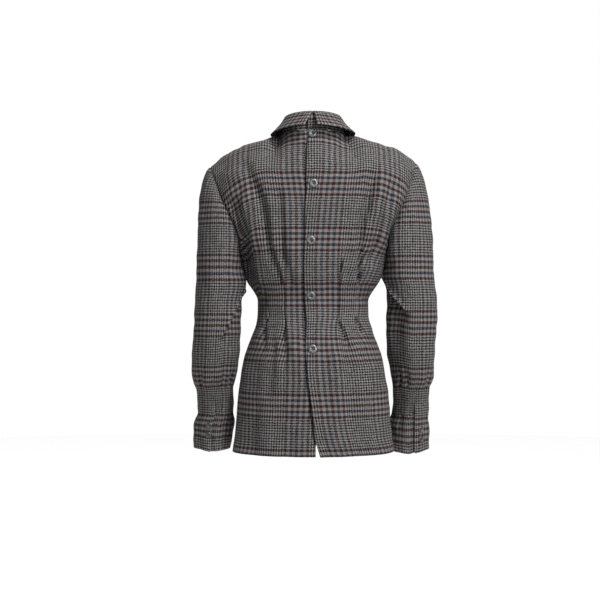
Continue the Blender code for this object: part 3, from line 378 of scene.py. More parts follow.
# Wrist: stitched tucks whose cloth billows above them and spreads as gathers in the cuff below them.
WRIST_TUCKS = {
    True: table("share depth", (0.1, 0.8), (0.26, 1.1), (0.43, 0.7), (0.6, 1), (0.78, 0.9)),
    False: table("share depth", (0.14, 1), (0.3, 1.2), (0.47, 0.8), (0.66, 1.1), (0.86, 0.9)),
}
WRIST_LINE = table(
    "z depth width",
    (-0.6705, 0.0003, 0.007), (-0.645, 0.0012, 0.0058), (-0.618, 0.0026, 0.0042), (-0.6, 0.003, 0.0026),
    (-0.588, 0.0016, 0.0012), (-0.56, 0.0012, 0.001), (-0.54, 0.0022, 0.0014), (-0.528, 0.0058, 0.004),
    (-0.51, 0.0046, 0.006), (-0.49, 0.0016, 0.008), (-0.47, 0, 0.009),
)
WRIST_TOP = -0.540        # above this height the billows lean over ...
WRIST_LEAN = 0.60         # ... by this share of the piece's width for each metre

# The cuff hangs lower at its vent than elsewhere.
CUFF_DROP = {
    "left": table("angle drop", (0, 0), (50, 0.001), (95, 0.0055), (140, 0.003), (180, 0.002), (270, 0)),
    "right": table(
        "angle drop",
        (0, 0.001), (50, 0.0035), (95, 0.01), (140, 0.007), (180, 0.005), (270, 0.001),
    ),
}

VENT_FROM = -0.560        # the two layers start to part here ...
VENT_PARTED = -0.592      # ... are apart here, where the lap starts ...
VENT_LAPPED = -0.600      # ... and lap in full from here down
VENT_LAP = 0.0107
VENT_OUT = 0.0030         # the upper sleeve stands this far out at the vent ...
VENT_IN = 0.0060          # ... and the under one this far in
VENT_UPPER = (0.78, 0.97)     # share of the upper sleeve over which it starts to stand out
VENT_UNDER = (0.09, 0.18)     # share of the under sleeve over which it stops standing in

# Buttons: turned, with a rounded rim round a sunk middle and four holes. Radius and height are shares.
BACK_BUTTON_RADIUS = 0.0090
CUFF_BUTTON_RADIUS = 0.0066
BUTTON_HEIGHT = 0.36      # share of the radius
BUTTON_PROFILE = table(
    "radius height",
    (0, 0), (0.6, 0), (0.85, 0.08), (0.97, 0.22), (1, 0.38), (0.97, 0.56), (0.9, 0.74), (0.8, 0.89),
    (0.69, 0.98), (0.6, 1), (0.52, 0.95), (0.46, 0.82), (0.42, 0.62), (0.36, 0.5), (0, 0.48),
)
BUTTON_SHADED_WELL = 0.48        # the sunk middle, in the darker horn that paints its shade, is as wide as this share
BUTTON_SIDES = 40
BUTTON_HOLE = 0.120       # radius of a hole, and its place off the middle both ways, as shares
BUTTON_HOLE_OFF = 0.17
BUTTON_HOLE_SIDES = 12
BUTTON_SEAT = 0.0003      # air under a button where it lies on the cloth
BACK_BUTTONS = table(
    "x z",
    (-0.0018, 0.001), (-0.0004, -0.105), (-0.005, -0.223), (-0.005, -0.338), (-0.003, -0.449),
)
CUFF_BUTTONS = {
    "left": table("x z", (0.223, -0.617), (0.226, -0.639)),
    "right": table("x z", (0.233, -0.627), (0.233, -0.648)),
}

# How the cloth is cut into faces, and how it is sewn.
CLOTH_STEP = 0.0024       # between two rows of a shell
FRONT_STEP = 0.0030       # the same on the front, which is the largest piece
PANEL_COLUMNS = (30, 20, 38)     # columns from the middle to the first tuck, to the second, and to the seam
CROWDING = 0.6            # how much closer columns lie beside a tuck
TUCK_TOP = 17.0           # above this level the columns no longer follow the tucks
TUCK_TOP_SHARES = (NECK_SHARE, 0.64)    # where those columns end on the neck and shoulder edge
SLEEVE_COLUMNS = 54
NECK_COLUMNS = 44         # columns on a quarter of the neck
STAND_ROWS = 14
FALL_ROWS = 26
LINE_STEPS = 400          # how finely a line is followed
ARMHOLE_STEPS = 160
SEAM_DIP = 0.0008         # a seam sinks this far ...
SEAM_WIDTH = 0.0024       # ... over this width
# The armhole seam is pulled into the garment, by this much at each height, over this width on both sides.
ARMHOLE_SINK = table(
    "z sink",
    (-0.27, 0), (-0.255, 0.003), (-0.235, 0.009), (-0.2, 0.01), (-0.165, 0.007), (-0.125, 0.004),
    (-0.09, 0.002), (-0.05, 0),
)
ARMHOLE_SINK_WIDTH = 0.012
ARMHOLE_FRONT_SINK = 0.6  # share of it at the front
ARMHOLE_LINE = {-1: 0.6, 1: 0.2}    # share that is added right at the seam, on the back of each side ...
ARMHOLE_LINE_WIDTH = 0.0036         # ... over this width
RIM_BULGE = 0.35          # how far a cut edge rounds out, as a share of the wall
SHARP_EDGE = 60.0         # degrees
NUDGE = 1e-4              # step for working out directions on a surface
TINY = 1e-30
FAR = 10.0                # further than any place on the garment

# Weave: the check's repeat starts with a band of coloured stripes, and its ground alternates light and dark.
THREAD = 0.000727         # from one thread to the next
THREAD_HEIGHT = THREAD / 3.0
STRIPE = 8 * THREAD
REPEAT = 0.1152
GROUND_LINES = 23         # lines of the ground in a repeat, light and dark by turns
TWILL = 5                 # out of this many threads of the warp ...
WARP_UP = 2               # ... this many lie on top, so the lines across the cloth are the stronger
WARP_START = 0.0200       # the band starts here across the cloth
WEFT_START = -0.0802      # and here along it, going down
BAND_MIDDLE = WARP_START + 4.5 * STRIPE
RIGHT_GRAIN = table(
    "z gain band",
    (-0.69, 0.98, 0.048), (-0.621, 0.98, 0.0442), (-0.504, 0.92, 0.0324), (-0.413, 1.1, 0.0265),
    (-0.376, 1.03, 0.0299), (-0.274, 0.97, 0.0283), (-0.162, 0.97, 0.0353), (-0.053, 0.96, 0.0467),
    (0.05, 0.96, 0.05),
)
LEFT_GRAIN = table(
    "z gain band",
    (-0.69, 0.97, 0.037), (-0.621, 0.98, 0.0348), (-0.504, 0.95, 0.0299), (-0.413, 1.02, 0.0321),
    (-0.376, 0.98, 0.0342), (-0.274, 1, 0.0352), (-0.162, 0.97, 0.0357), (-0.053, 0.97, 0.047),
    (0.05, 0.96, 0.052),
)
FRONT_GRAIN = table("z gain band", (-0.69, 1, 0.0461), (0.05, 1, 0.0461))
WEFT_ROLL = 2.0           # this many levels below the top the cloth starts to roll over the shoulders
# Towards the arms the check droops: how far out that starts, and how steeply.
RIGHT_DROOP = table(
    "z x slope",
    (-0.69, 0.12, 0), (-0.34, 0.11, 0), (-0.28, 0.115, 0.2), (-0.2, 0.125, 0.2), (-0.12, 0.125, 0.16),
    (-0.06, 0.125, 0.12), (0.05, 0.125, 0),
)
LEFT_DROOP = table(
    "z x slope",
    (-0.69, 0.11, 0), (-0.35, 0.106, 0), (-0.327, 0.113, 0.6), (-0.29, 0.12, 0.9), (-0.244, 0.123, 0.85),
    (-0.18, 0.112, 0.55), (-0.11, 0.098, 0.34), (-0.06, 0.098, 0.26), (0.05, 0.1, 0),
)
DROOP_BEND = 0.015
SLEEVE_RISE = 0.060
# The sleeves' cloth hangs longer over the elbow and towards the cuff, so its check lies lower there.
SLEEVE_SAG = {
    "left": table(
        "z sag",
        (-0.69, -0.001), (-0.61, -0.001), (-0.51, 0.0021), (-0.4, 0.005), (-0.305, 0.0009),
        (-0.255, -0.0056), (-0.16, -0.0034), (0, -0.0034),
    ),
    "right": table(
        "z sag",
        (-0.69, 0.0076), (-0.61, 0.0066), (-0.51, 0.007), (-0.4, -0.001), (-0.28, -0.0024),
        (-0.16, -0.0062), (0, -0.0062),
    ),
}
HEAD_STRAIGHT = (15.0, 55.0)    # degrees off the outer side by which the head's warp hangs straight
UNDER_SHIFT = 0.021       # the under sleeve's warp doesn't meet the upper sleeve's at the seam
WRIST_PIECE = 0.120       # width of a sleeve piece at the wrist

COLLAR_WEFT = -0.150
STITCH_RISE = 0.00015     # stitches lie this far above the cloth
STITCH_COLUMNS = 2        # columns outside a tuck's step
TUCK_SEWN = (-0.388, -0.312)
THREAD_SPREAD = 0.045     # strands lie this far apart, as a share of a button's radius
THREAD_RISE = 0.0002
# Stitches: from one to the next, length and thickness.
TUCK_STITCH = (0.0030, 0.0021, 0.0004)
BUTTON_STITCH = (0.0006, 0.0011, 0.0006)

# Yarns and their order in the band of stripes; light and dark alternate in the ground between the bands.
YARNS = ("burgundy", "beige", "slate", "light", "dark")
WARP_YARNS = dict(zip(YARNS, ("#1a1112", "#464442", "#16181e", "#525050", "#030303")))
WEFT_YARNS = dict(zip(YARNS, ("#12090a", "#4d4846", "#0f1218", "#504e4e", "#050505")))
STRIPES = ("burgundy", "beige", "slate", "beige", "burgundy", "beige", "slate", "beige", "burgundy")
MINGLED = 0.5             # share of the nap in which fibres of warp and weft mingle, so the darker one wins
STRAY = 0.0016            # how far threads stray from their straight lines ...
STRAY_SIZE = 0.0030       # ... over this distance
UNEVEN_YARN = 0.20        # how much single threads differ in lightness
UNEVEN_NAP = 0.06         # and soft patches of the cloth
NAP_SIZE = 0.004
HORN_STREAKS = (900.0, 300.0, 160.0)    # streaks in a metre of horn, each way

MIDDLE = (-0.028, 0.0, -0.348)    # what the camera looks at
CAMERA_FAR = 2.8
CAMERA_LENS = 78.1        # on a 36 mm sensor, for 2.15 mm a pixel at the side seams
FLOOR_Z = -1.45           # a standing wearer's feet, below the neck
FLOOR_RADIUS = 8.0
FLOOR_SIDES = 64
# Place, size and watts of each soft light: from the right, from above, and for the hidden front.
LIGHTS = {
    "Key": ((1.40, -2.35, 0.60), 0.6, 118.0),
    "Top": ((0.7, -1.2, 1.9), 0.6, 148.0),
    "Front fill": ((0.0, 2.9, 0.8), 1.5, 130.0),
}


def smooth_step(low, high, value):
    """0 below low, 1 above high, and a soft ramp between."""
    share = np.clip((value - low) / (high - low), 0.0, 1.0)
    return share * share * (3.0 - 2.0 * share)


def along(points, axis):
    """Distance run along a line or grid of points, from its start, in the direction of one axis."""
    steps = np.linalg.norm(np.diff(points, axis=axis), axis=-1)
    return np.concatenate([np.zeros_like(np.take(steps, [0], axis)), np.cumsum(steps, axis)], axis)


def bent(share, start, end, leave, arrive):
    """Curve from start to end that leaves and arrives in given directions."""
    return ((1.0 + 2.0 * share) * (1.0 - share) ** 2 * start + share * share * (3.0 - 2.0 * share) * end
            + share * (1.0 - share) ** 2 * leave + share * share * (share - 1.0) * arrive)


def through(knots, values, at):
    """Smooth curve through values at rising knots, read at the places in at. It never overshoots a value."""
    knots = np.asarray(knots, float)
    values = np.asarray(values, float)
    at = np.clip(np.asarray(at, float), knots[0], knots[-1])
    steps = np.diff(values, axis=0) / np.diff(knots).reshape((-1,) + (1,) * (values.ndim - 1))
    slopes = np.gradient(values, knots, axis=0)
    most = 3.0 * np.minimum(np.abs(steps[:-1]), np.abs(steps[1:]))
    same_way = steps[:-1] * steps[1:] > 0
    slopes[1:-1] = np.where(same_way, np.clip(slopes[1:-1], -most, most), 0.0)
    first = np.clip(np.searchsorted(knots, at, side="right") - 1, 0, len(knots) - 2)
    span = knots[first + 1] - knots[first]
    share = (at - knots[first]) / span
    shape = at.shape + (1,) * (values.ndim - 1)
    share = share.reshape(shape)
    span = span.reshape(shape)
    return bent(share, values[first], values[first + 1], slopes[first] * span, slopes[first + 1] * span)


def by_height(rows, column, z):
    """One column of a table whose heights rise or fall, read at any height."""
    order = np.argsort(rows["z"])
    return through(rows["z"][order], rows[column][order], z)


def body_row(edge_x, edge_y, middle_y, angle, start_x, share):
    """A level line of the body in plan, from the opening edge to the seam, square to the middle line."""
    begin = start_x / (3.0 * ROW_FULLNESS * edge_x)
    place = begin + (1.0 - begin) * share
    side = np.sign(place)
    t = np.abs(place)
    turn = math.radians(angle)
    facing = math.copysign(1.0, edge_y - middle_y)
    handle = ROW_FULLNESS * abs(edge_y - middle_y) / math.sin(turn)
    points = (
        (0.0, middle_y),
        (ROW_FULLNESS * edge_x, middle_y),
        (edge_x - handle * math.cos(turn), edge_y - facing * handle * math.sin(turn)),
        (edge_x, edge_y),
    )
    weights = ((1 - t) ** 3, 3 * t * (1 - t) ** 2, 3 * t * t * (1 - t), t ** 3)
    x = sum(w * p[0] for w, p in zip(weights, points)) * side
    y = sum(w * p[1] for w, p in zip(weights, points))
    return x, y, t


def neck_and_shoulder(depth, z_middle, start_x, share):
    """Upper edge of a half panel: round the neck to its side, then out along the shoulder seam."""
    on_neck = np.clip(share / NECK_SHARE, 0.0, 1.0)
    begin = math.asin(start_x / NECK_HALF_WIDTH)
    angle = begin + (math.pi / 2 - begin) * on_neck
    rise = np.cos(angle) ** 2
    neck = np.stack([
        NECK_HALF_WIDTH * np.sin(angle),
        NECK_SIDE_Y + (depth - NECK_SIDE_Y) * np.cos(angle),
        NECK_Z_SIDE + (z_middle - NECK_Z_SIDE) * rise,
    ], axis=-1)
    seam = np.stack([SHOULDER_SEAM[name] for name in "xyz"], axis=-1)
    run = along(seam, 0)
    shoulder = through(run, seam, run[-1] * np.clip((share - NECK_SHARE) / (1 - NECK_SHARE), 0.0, 1.0))
    return np.where((share <= NECK_SHARE)[:, None], neck, shoulder)


def key_rows(levels, roll, facing, starts, share):
    """The lines across a half panel that its surface passes through, from the hem up to the shoulder."""
    rows = []
    for level, start_x in zip(BODY_LEVELS, starts):
        middle = facing * (level["back"] if facing < 0 else level["front"])
        x, y, _ = body_row(level["half_width"], 0.0, middle, 90.0, start_x, share)
        rows.append(np.stack([x, y, np.full_like(x, level["z"])], axis=-1))
    for level, start_x in zip(levels, starts[len(BODY_LEVELS):]):
        x, y, t = body_row(level["edge_x"], level["edge_y"], facing * level["middle"], level["angle"],
                           start_x, share)
        z = level["z_middle"] + (level["z_edge"] - level["z_middle"]) * t ** EDGE_DROOP
        rows.append(np.stack([x, y, z], axis=-1))
    depth, z_middle = (-NECK_BACK, NECK_Z_BACK) if facing < 0 else (NECK_FRONT, NECK_Z_FRONT)
    top = neck_and_shoulder(depth, z_middle, starts[-1], share)
    shift = np.stack([through(roll["share"], roll[name], share) for name in "xyz"], axis=-1)
    return np.stack(rows + [top + shift, top])


def half_panel(levels, roll, facing, opening_x):
    """Surface of a half panel as a function of share (opening edge 0, seam 1) and level (row number)."""
    def surface(share, level):
        rows = key_rows(levels, roll, facing, starts, share)
        return through(run, rows, np.interp(level, np.arange(len(rows)), run))

    heights = [*BODY_LEVELS["z"], *levels["z_middle"], NECK_Z_BACK if facing < 0 else NECK_Z_FRONT]
    starts = [opening_x(z) for z in heights]
    middle = key_rows(levels, roll, facing, starts, KNOT_SHARES)
    run = along(middle, 0).mean(axis=-1)
    return surface


def opening_right(z):
    """Place of the right half's edge, out from the middle."""
    return float(by_height(RIGHT_EDGE, "x", z))


BACK_RIGHT = half_panel(BACK_LEVELS, BACK_ROLL, -1, opening_right)
BACK_LEFT = half_panel(BACK_LEVELS, BACK_ROLL, -1, lambda z: -LEFT_EDGE_X)
FRONT_HALF = half_panel(FRONT_LEVELS, FRONT_ROLL, 1, lambda z: 0.0)
UNDERARM_LEVEL = len(BODY_LEVELS) - 1
BACK_TOP = len(BODY_LEVELS) + len(BACK_LEVELS) + 1
FRONT_TOP = len(BODY_LEVELS) + len(FRONT_LEVELS) + 1


def outward(surface, first, second, flip):
    """Unit normals of a surface at its grid points, turned out of the garment by flip."""
    across = surface(first + NUDGE, second) - surface(first - NUDGE, second)
    up = surface(first, second + NUDGE) - surface(first, second - NUDGE)
    normals = np.cross(across, up) * flip
    return normals / np.maximum(np.linalg.norm(normals, axis=-1, keepdims=True), TINY)


def seam_normals(normals, share, level, top_level):
    """Normals without their lean over the shoulder seam, so that both pieces meet it with upright edges."""
    at_seam = smooth_step(top_level - 1.0, top_level, level)[:, None]
    at_seam = at_seam * smooth_step(NECK_SHARE - NECK_EASE, NECK_SHARE, share)[None, :]
    upright = normals.copy()
    upright[..., 1] *= 1.0 - at_seam
    return upright / np.linalg.norm(upright, axis=-1, keepdims=True)


def lap_height(side, x, z):
    """How far the two layers stand apart where the right half laps over the left one."""
    from_middle = x if side > 0 else -x
    near = 1.0 - smooth_step(LAP_RAMP_FROM, LAP_RAMP_TO, np.abs(from_middle))
    near = np.where(from_middle < LAP_RAMP_FROM, 1.0, near)
    if side < 0:
        return -LAP_SHIFT * near
    return (LAP_SHIFT + by_height(RIGHT_EDGE, "gape", z)) * near


def armhole_line(surface, top_level):
    """Half of the armhole from the shoulder to the underarm, and how far along it each point lies."""
    level = np.linspace(top_level, UNDERARM_LEVEL, ARMHOLE_STEPS)
    points = surface(np.array([1.0]), level)[:, 0]
    run = along(points, 0)
    return run / run[-1], points


ARMHOLE_BACK = armhole_line(BACK_RIGHT, BACK_TOP)
ARMHOLE_FRONT = armhole_line(FRONT_HALF, FRONT_TOP)


def armhole(angle):
    """Armhole of the right side: 0 degrees at the shoulder, 90 at the back, 180 at the underarm."""
    turn = np.mod(angle, 360.0)
    share = np.where(turn <= 180.0, turn, 360.0 - turn) / 180.0
    halves = [np.stack([np.interp(share, run, column) for column in points.T], axis=-1)
              for run, points in (ARMHOLE_BACK, ARMHOLE_FRONT)]
    return np.where((turn <= 180.0)[..., None], *halves) + np.array([ARMHOLE_GAP, 0.0, 0.0])


def around(values, angle):
    """Blend of values given at the four quarters of a sleeve (outer, back, inner, front)."""
    values = np.asarray(values, float)
    closed = np.concatenate([values[-1:], values, values[:2]])
    return through(np.arange(-1, 6) * 90.0, closed, np.mod(angle, 360.0))


def sleeve_ring(edges, angle, z):
    """Oval rings of a sleeve, for a grid of angles at heights z."""
    outer = by_height(edges, "outer", z)[:, None]
    inner = by_height(edges, "inner", z)[:, None]
    back = by_height(SLEEVE_DEPTH, "back", z)[:, None]
    front = by_height(SLEEVE_DEPTH, "front", z)[:, None]
    turn = np.radians(angle)
    x = (outer + inner) / 2 + (outer - inner) / 2 * np.cos(turn)
    y = (back + front) / 2 + (back - front) / 2 * np.sin(turn)
    return np.stack([x, y, np.broadcast_to(z[:, None], x.shape)], axis=-1)


def sleeve_surface(edges):
    """Sleeve surface: level 0 to 1 is the head, from the armhole, and 1 to 2 the sleeve below it."""
    top, bottom = edges["z"][0], edges["z"][-1]
    pull = np.stack([HEAD_PULL[name] for name in "xyz"], axis=-1)

    def surface(angle, level):
        start = armhole(angle)
        end = sleeve_ring(edges, angle, np.array([top]))[0]
        leave = around(pull, angle)
        arrive = around(HEAD_END_PULL, angle)[..., None] * np.array(HEAD_END_WAY)
        head = bent(np.clip(level, 0.0, 1.0)[:, None, None], start, end, leave, arrive)
        z = top + (bottom - top) * np.clip(level - 1.0, 0.0, 1.0)
        tube = sleeve_ring(edges, angle, z)
        return np.where((level <= 1.0)[:, None, None], head, tube)
    return surface


def neck_line(line, angle):
    """Points on a line round the neck: 0 degrees at the middle of the back, 90 at the right side."""
    turn = np.radians(angle)
    cosine = np.cos(turn)
    reach = np.where(cosine > 0, -line["back"] - NECK_SIDE_Y, line["front"] - NECK_SIDE_Y)
    z_end = np.where(cosine > 0, line["z_back"], line["z_front"])
    z = line["z_side"] + (z_end - line["z_side"]) * cosine * cosine
    return np.stack([line["half_width"] * np.sin(turn), NECK_SIDE_Y + reach * np.abs(cosine), z], axis=-1)


def fall_surface(angles, level):
    """The collar leaf, through its lines, for the angles of the columns on each line."""
    rows = np.stack([neck_line(line, angle) for line, angle in zip(FALL_LINES, angles)])
    return through(np.arange(len(rows)), rows, level)


def fall_shape(level):
    """Outer points and normals of the turned-down leaf, from the fold to its edge."""
    angles = np.stack([round_the_neck(row["x_right"], row["x_left"], row["half_width"])
                       for row in FALL_LINES])
    return fall_surface(angles, level), outward(fall_surface, angles, level, -1.0)


def stand_surface(angle, level):
    """The collar stand, from the neck seam up to the underside of the fold."""
    lines = np.stack([angle] * len(FALL_LINES))
    fold = fall_surface(lines, np.array([0.0]))[0]
    up = outward(fall_surface, lines, np.array([0.0]), -1.0)[0]
    lapped = 1.0 - smooth_step(LAP_RAMP_FROM, LAP_RAMP_TO, np.abs(fold[:, 0]))
    lapped = np.where(fold[:, 1] < 0, lapped, 0.0)[:, None]
    top = fold - up * (COLLAR_CLOTH + SEAM_GAP + STAND_DROP * lapped)
    seam = neck_line(NECK_SEAM, angle)
    middle = (top + seam) / 2
    middle[:, :2] *= 1.0 + STAND_BULGE / np.linalg.norm(middle[:, :2], axis=-1, keepdims=True)
    return through(np.arange(3.0), np.stack([seam, middle, top]), level)


def stand_shape(level):
    """Outer points and normals of the stand; its right end laps over its left end."""
    angle = round_the_neck(opening_right(NECK_Z_BACK), -LEFT_EDGE_X, NECK_HALF_WIDTH)
    points = stand_surface(angle, level)
    normals = outward(stand_surface, angle, level, 1.0)
    neck_x = points[0, :, 0]
    neck_z = np.full_like(neck_x, NECK_Z_BACK)
    height = np.where(angle < 180.0, lap_height(1, neck_x, neck_z), lap_height(-1, neck_x, neck_z))
    height = np.where(np.cos(np.radians(angle)) > 0, STAND_LAP * height, 0.0)
    return points + normals * height[None, :, None], normals


def crowded(count):
    """Shares from 0 to 1 that lie closer together at both ends."""
    even = np.linspace(0.0, 1.0, count + 1)
    return even - CROWDING * np.sin(2.0 * math.pi * even) / (2.0 * math.pi)


def even_levels(surface, share, levels, step):
    """Levels between two ends that lie about one step apart on the cloth."""
    rough = np.linspace(*levels, LINE_STEPS)
    run = along(surface(np.array([share]), rough), 0)[:, 0]
    return np.interp(np.linspace(0.0, run[-1], round(run[-1] / step) + 1), run, rough)


def step_shape(out, width, roll):
    """A fold seen across: one side stands up and rolls off, the other one drops into a valley."""
    raised = smooth_step(-width, width, out) * np.exp(-np.maximum(out, 0.0) / roll)
    dropped = np.exp(-((out + width) / (FOLD_VALLEY * width)) ** 2)
    return FOLD_RISE * raised - FOLD_DROP * dropped


def fold_height(folds, lean, x, z):
    """How far soft folds lift (or drop) the cloth, seen from behind; lean says which side stands up."""
    height = np.zeros_like(x)
    for fold in folds:
        run_x = fold["x_high"] - fold["x_low"]
        run_z = fold["z_high"] - fold["z_low"]
        length = math.hypot(run_x, run_z)
        ahead = ((x - fold["x_low"]) * run_x + (z - fold["z_low"]) * run_z) / length
        out = ((x - fold["x_low"]) * run_z - (z - fold["z_low"]) * run_x) / length
        depth = np.interp(ahead, (0.0, length), (fold["depth_low"], fold["depth_high"]))
        past = np.maximum(np.maximum(-ahead, ahead - length), 0.0)
        depth = depth * np.exp(-(past / FOLD_END) ** 2)
        height += depth * step_shape(lean * out, fold["width"], fold["roll"])
    return height


def bulge_height(bulges, at, z):
    """How far soft bulges lift the cloth."""
    height = np.zeros_like(z)
    for bulge in bulges:
        near = ((at - bulge["at"]) / bulge["across"]) ** 2 + ((z - bulge["z"]) / bulge["up"]) ** 2
        height += bulge["height"] * np.exp(-near)
    return height


def cloth_waves(x, z):
    """How far slow waves lift the cloth."""
    return sum(wave["height"] * np.sin(2.0 * math.pi * (x / wave["across"] + z / wave["up"]) + wave["start"])
               for wave in CLOTH_WAVES)


def tuck_height(line, lean, x, z):
    """How far a tuck lifts (or drops) the cloth."""
    out = lean * (x - by_height(line, "x", z))
    return by_height(line, "depth", z) * step_shape(out, by_height(line, "width", z), TUCK_ROLL)


def tuck_share(surface, line, level):
    """Share of a panel's width at which a tuck crosses each level; near the top it runs straight up."""
    share = np.linspace(0.0, 1.0, LINE_STEPS)
    found = []
    for one in np.minimum(level, TUCK_TOP):
        row = surface(share, np.array([one]))[0]
        found.append(np.interp(0.0, row[:, 0] - by_height(line, "x", row[:, 2]), share))
    return np.array(found)


def panel_shares(surface, tucks, level, top_level):
    """Shares of a panel's columns at each level: some run along the tucks, the others crowd beside them."""
    ease = smooth_step(TUCK_TOP, top_level, level)
    stops = [np.zeros(len(level))]
    for line, top_share in zip(tucks, TUCK_TOP_SHARES):
        share = tuck_share(surface, line, level)
        stops.append(share + (top_share - share) * ease)
    stops.append(np.ones(len(level)))
    columns = [stops[0][:, None]]
    for start, end, count in zip(stops, stops[1:], PANEL_COLUMNS):
        columns.append(start[:, None] + (end - start)[:, None] * crowded(count)[1:])
    return np.concatenate(columns, axis=1)


def half_cloth(surface, flip, top_level, step, tucks, folds, lean, grain, droop):
    """A half panel as a grid: its plain surface, normals, the height of its folds and its weave."""
    level = even_levels(surface, 0.5, (0.0, top_level), step)
    shares = panel_shares(surface, tucks, level, top_level)
    rows = [(row, np.array([one])) for row, one in zip(shares, level)]
    base = np.concatenate([surface(*row) for row in rows])
    normals = np.concatenate([seam_normals(outward(surface, *row, flip), *row, top_level) for row in rows])
    x, z = base[..., 0], base[..., 2]
    height = fold_height(folds, lean, x, z) + sum(tuck_height(line, lean, x, z) for line in tucks)
    height += cloth_waves(lean * x, z) * smooth_step(LAP_RAMP_FROM, LAP_RAMP_TO, np.abs(x))
    if lean < 0:
        beyond = x - by_height(ARM_HOLLOW, "x", z)
        height -= by_height(ARM_HOLLOW, "depth", z) * smooth_step(-ARM_HOLLOW_STEP, ARM_HOLLOW_STEP, beyond)
    height *= 1.0 - smooth_step(SEAM_CALM, 1.0, shares)
    weave, takes = panel_weave(base, np.searchsorted(level, top_level - WEFT_ROLL), tucks, grain, droop)
    return base, normals, height, weave, takes


def panel_weave(base, first, tucks, grain, droop):
    """Place in the weave of each point of a half panel, and what each tuck takes in beyond its column.
    """
    run = along(base, 1)
    middle = np.array([np.interp(0.0, row[:, 0], far) for row, far in zip(base, run)])
    z = base[:, :1, 2]
    from_band = run - middle[:, None] - by_height(grain, "band", z)
    u = BAND_MIDDLE + from_band * by_height(grain, "gain", z)
    v = np.repeat(z, base.shape[1], axis=1)
    v[first:] = v[first] + along(base[first:], 0)
    x = base[first:, :, 0]
    u[first:] = np.interp(x, base[first, :, 0], u[first]) + np.maximum(x - base[first, -1, 0], 0.0)
    over = np.maximum(base[..., 0] - by_height(droop, "x", base[..., 2]), 0.0)
    v += by_height(droop, "slope", base[..., 2]) * over * over / (over + DROOP_BEND)
    columns = np.cumsum(PANEL_COLUMNS)
    takes = [(column, by_height(line, "intake", base[:, column, 2])) for column, line in zip(columns, tucks)]
    return np.stack([u, v], axis=-1), takes


def seams_dipped(points, normals, seams):
    """Points that sink a little along the edges that are sewn to another piece."""
    depth = np.zeros(points.shape[:2])
    for edge in seams:
        axis = 1 if edge in ("start", "end") else 0
        run = along(points, axis)
        far = run if edge in ("start", "low") else np.take(run, [-1], axis) - run
        depth = np.maximum(depth, SEAM_DIP * np.exp(-(far / SEAM_WIDTH) ** 2))
    return points - normals * depth[..., None]


def armhole_sunk(points, edge, way, line):
    """Points that are pulled forward or back along the armhole seam, which is a grid's end or start."""
    seam = points[:, -1:] if edge == "end" else points[:1]
    run = along(points, 1 if edge == "end" else 0)
    far = run[:, -1:] - run if edge == "end" else run
    depth = by_height(ARMHOLE_SINK, "sink", seam[..., 2]) * way
    points = points.copy()
    shape = np.exp(-(far / ARMHOLE_SINK_WIDTH) ** 2) + line * np.exp(-(far / ARMHOLE_LINE_WIDTH) ** 2)
    points[..., 1] += depth * shape
    return points


def facing_in(points, normals):
    """Whether a grid's rows and columns turn the other way round from its normals."""
    across = points[:-1, 1:] - points[:-1, :-1]
    up = points[1:, :-1] - points[:-1, :-1]
    return (np.cross(across, up) * normals[:-1, :-1]).sum() < 0.0


def edge_ring(rows, columns):
    """Rows and columns of the points round the edge of a grid."""
    return ([(0, c) for c in range(columns)] + [(r, columns - 1) for r in range(1, rows)]
            + [(rows - 1, c) for c in range(columns - 2, -1, -1)] + [(r, 0) for r in range(rows - 2, 0, -1)])


def shoulders_lifted(points):
    """Points with fuller shoulders. All the pieces there move alike, so that their seams stay closed."""
    x, z = points[..., 0], points[..., 2]
    lift = sum(np.where(side * x > 0.0, np.interp(side * x, line["x"], line["lift"]), 0.0)
               for side, line in SHOULDER_LIFT.items())
    points = points.copy()
    points[..., 2] += lift * smooth_step(*SHOULDER_LIFT_HIGH, z)
    return points


def shell(name, outer, normals, wall, weave, takes, material):
    """A closed thin shell with a rounded rim. Beyond a tuck's column, the cloth it takes in is left out."""
    outer = shoulders_lifted(outer)
    rows, columns = outer.shape[:2]
    order = -1 if facing_in(outer, normals) else 1
    row, column = np.mgrid[:rows - 1, :columns - 1]
    face_rows = np.stack([row, row, row + 1, row + 1], axis=-1).reshape(-1, 4)[:, ::order]
    face_columns = np.stack([column, column + 1, column + 1, column], axis=-1).reshape(-1, 4)[:, ::order]
    quads = face_rows * columns + face_columns

    ring = np.array(edge_ring(rows, columns)[::order])
    edge = ring[:, 0] * columns + ring[:, 1]
    here = np.arange(len(ring))
    ahead = np.roll(here, -1)
    points = outer.reshape(-1, 3)
    inner = points - normals.reshape(-1, 3) * wall
    tangent = points[edge[ahead]] - points[np.roll(edge, 1)]
    out = np.cross(tangent, normals.reshape(-1, 3)[edge])
    out /= np.maximum(np.linalg.norm(out, axis=-1, keepdims=True), TINY)
    rim = (points + inner)[edge] / 2 + out * wall * RIM_BULGE
    count = rows * columns
    rim_outer = np.stack([edge[ahead], edge, 2 * count + here, 2 * count + ahead], axis=-1)
    rim_inner = np.stack([2 * count + ahead, 2 * count + here, count + edge, count + edge[ahead]], axis=-1)
    rim_corners = np.stack([ahead, here, here, ahead], axis=-1)

    at_row = np.concatenate([face_rows, face_rows[:, ::-1]] + [ring[rim_corners, 0]] * 2)
    at_column = np.concatenate([face_columns, face_columns[:, ::-1]] + [ring[rim_corners, 1]] * 2)
    uv = weave[at_row, at_column]
    first_column = at_column.min(axis=1, keepdims=True)
    for take_column, taken in takes:
        uv[..., 0] += np.where(first_column >= take_column, taken[at_row], 0.0)

    data = bpy.data.meshes.new(name)
    faces = np.concatenate([quads, quads[:, ::-1] + count, rim_outer, rim_inner])
    data.from_pydata(np.concatenate([points, inner, rim]).tolist(), [], faces.tolist())
    data.uv_layers.new(name="Weave").data.foreach_set("uv", uv.reshape(-1))
    return piece_of(name, data, material)


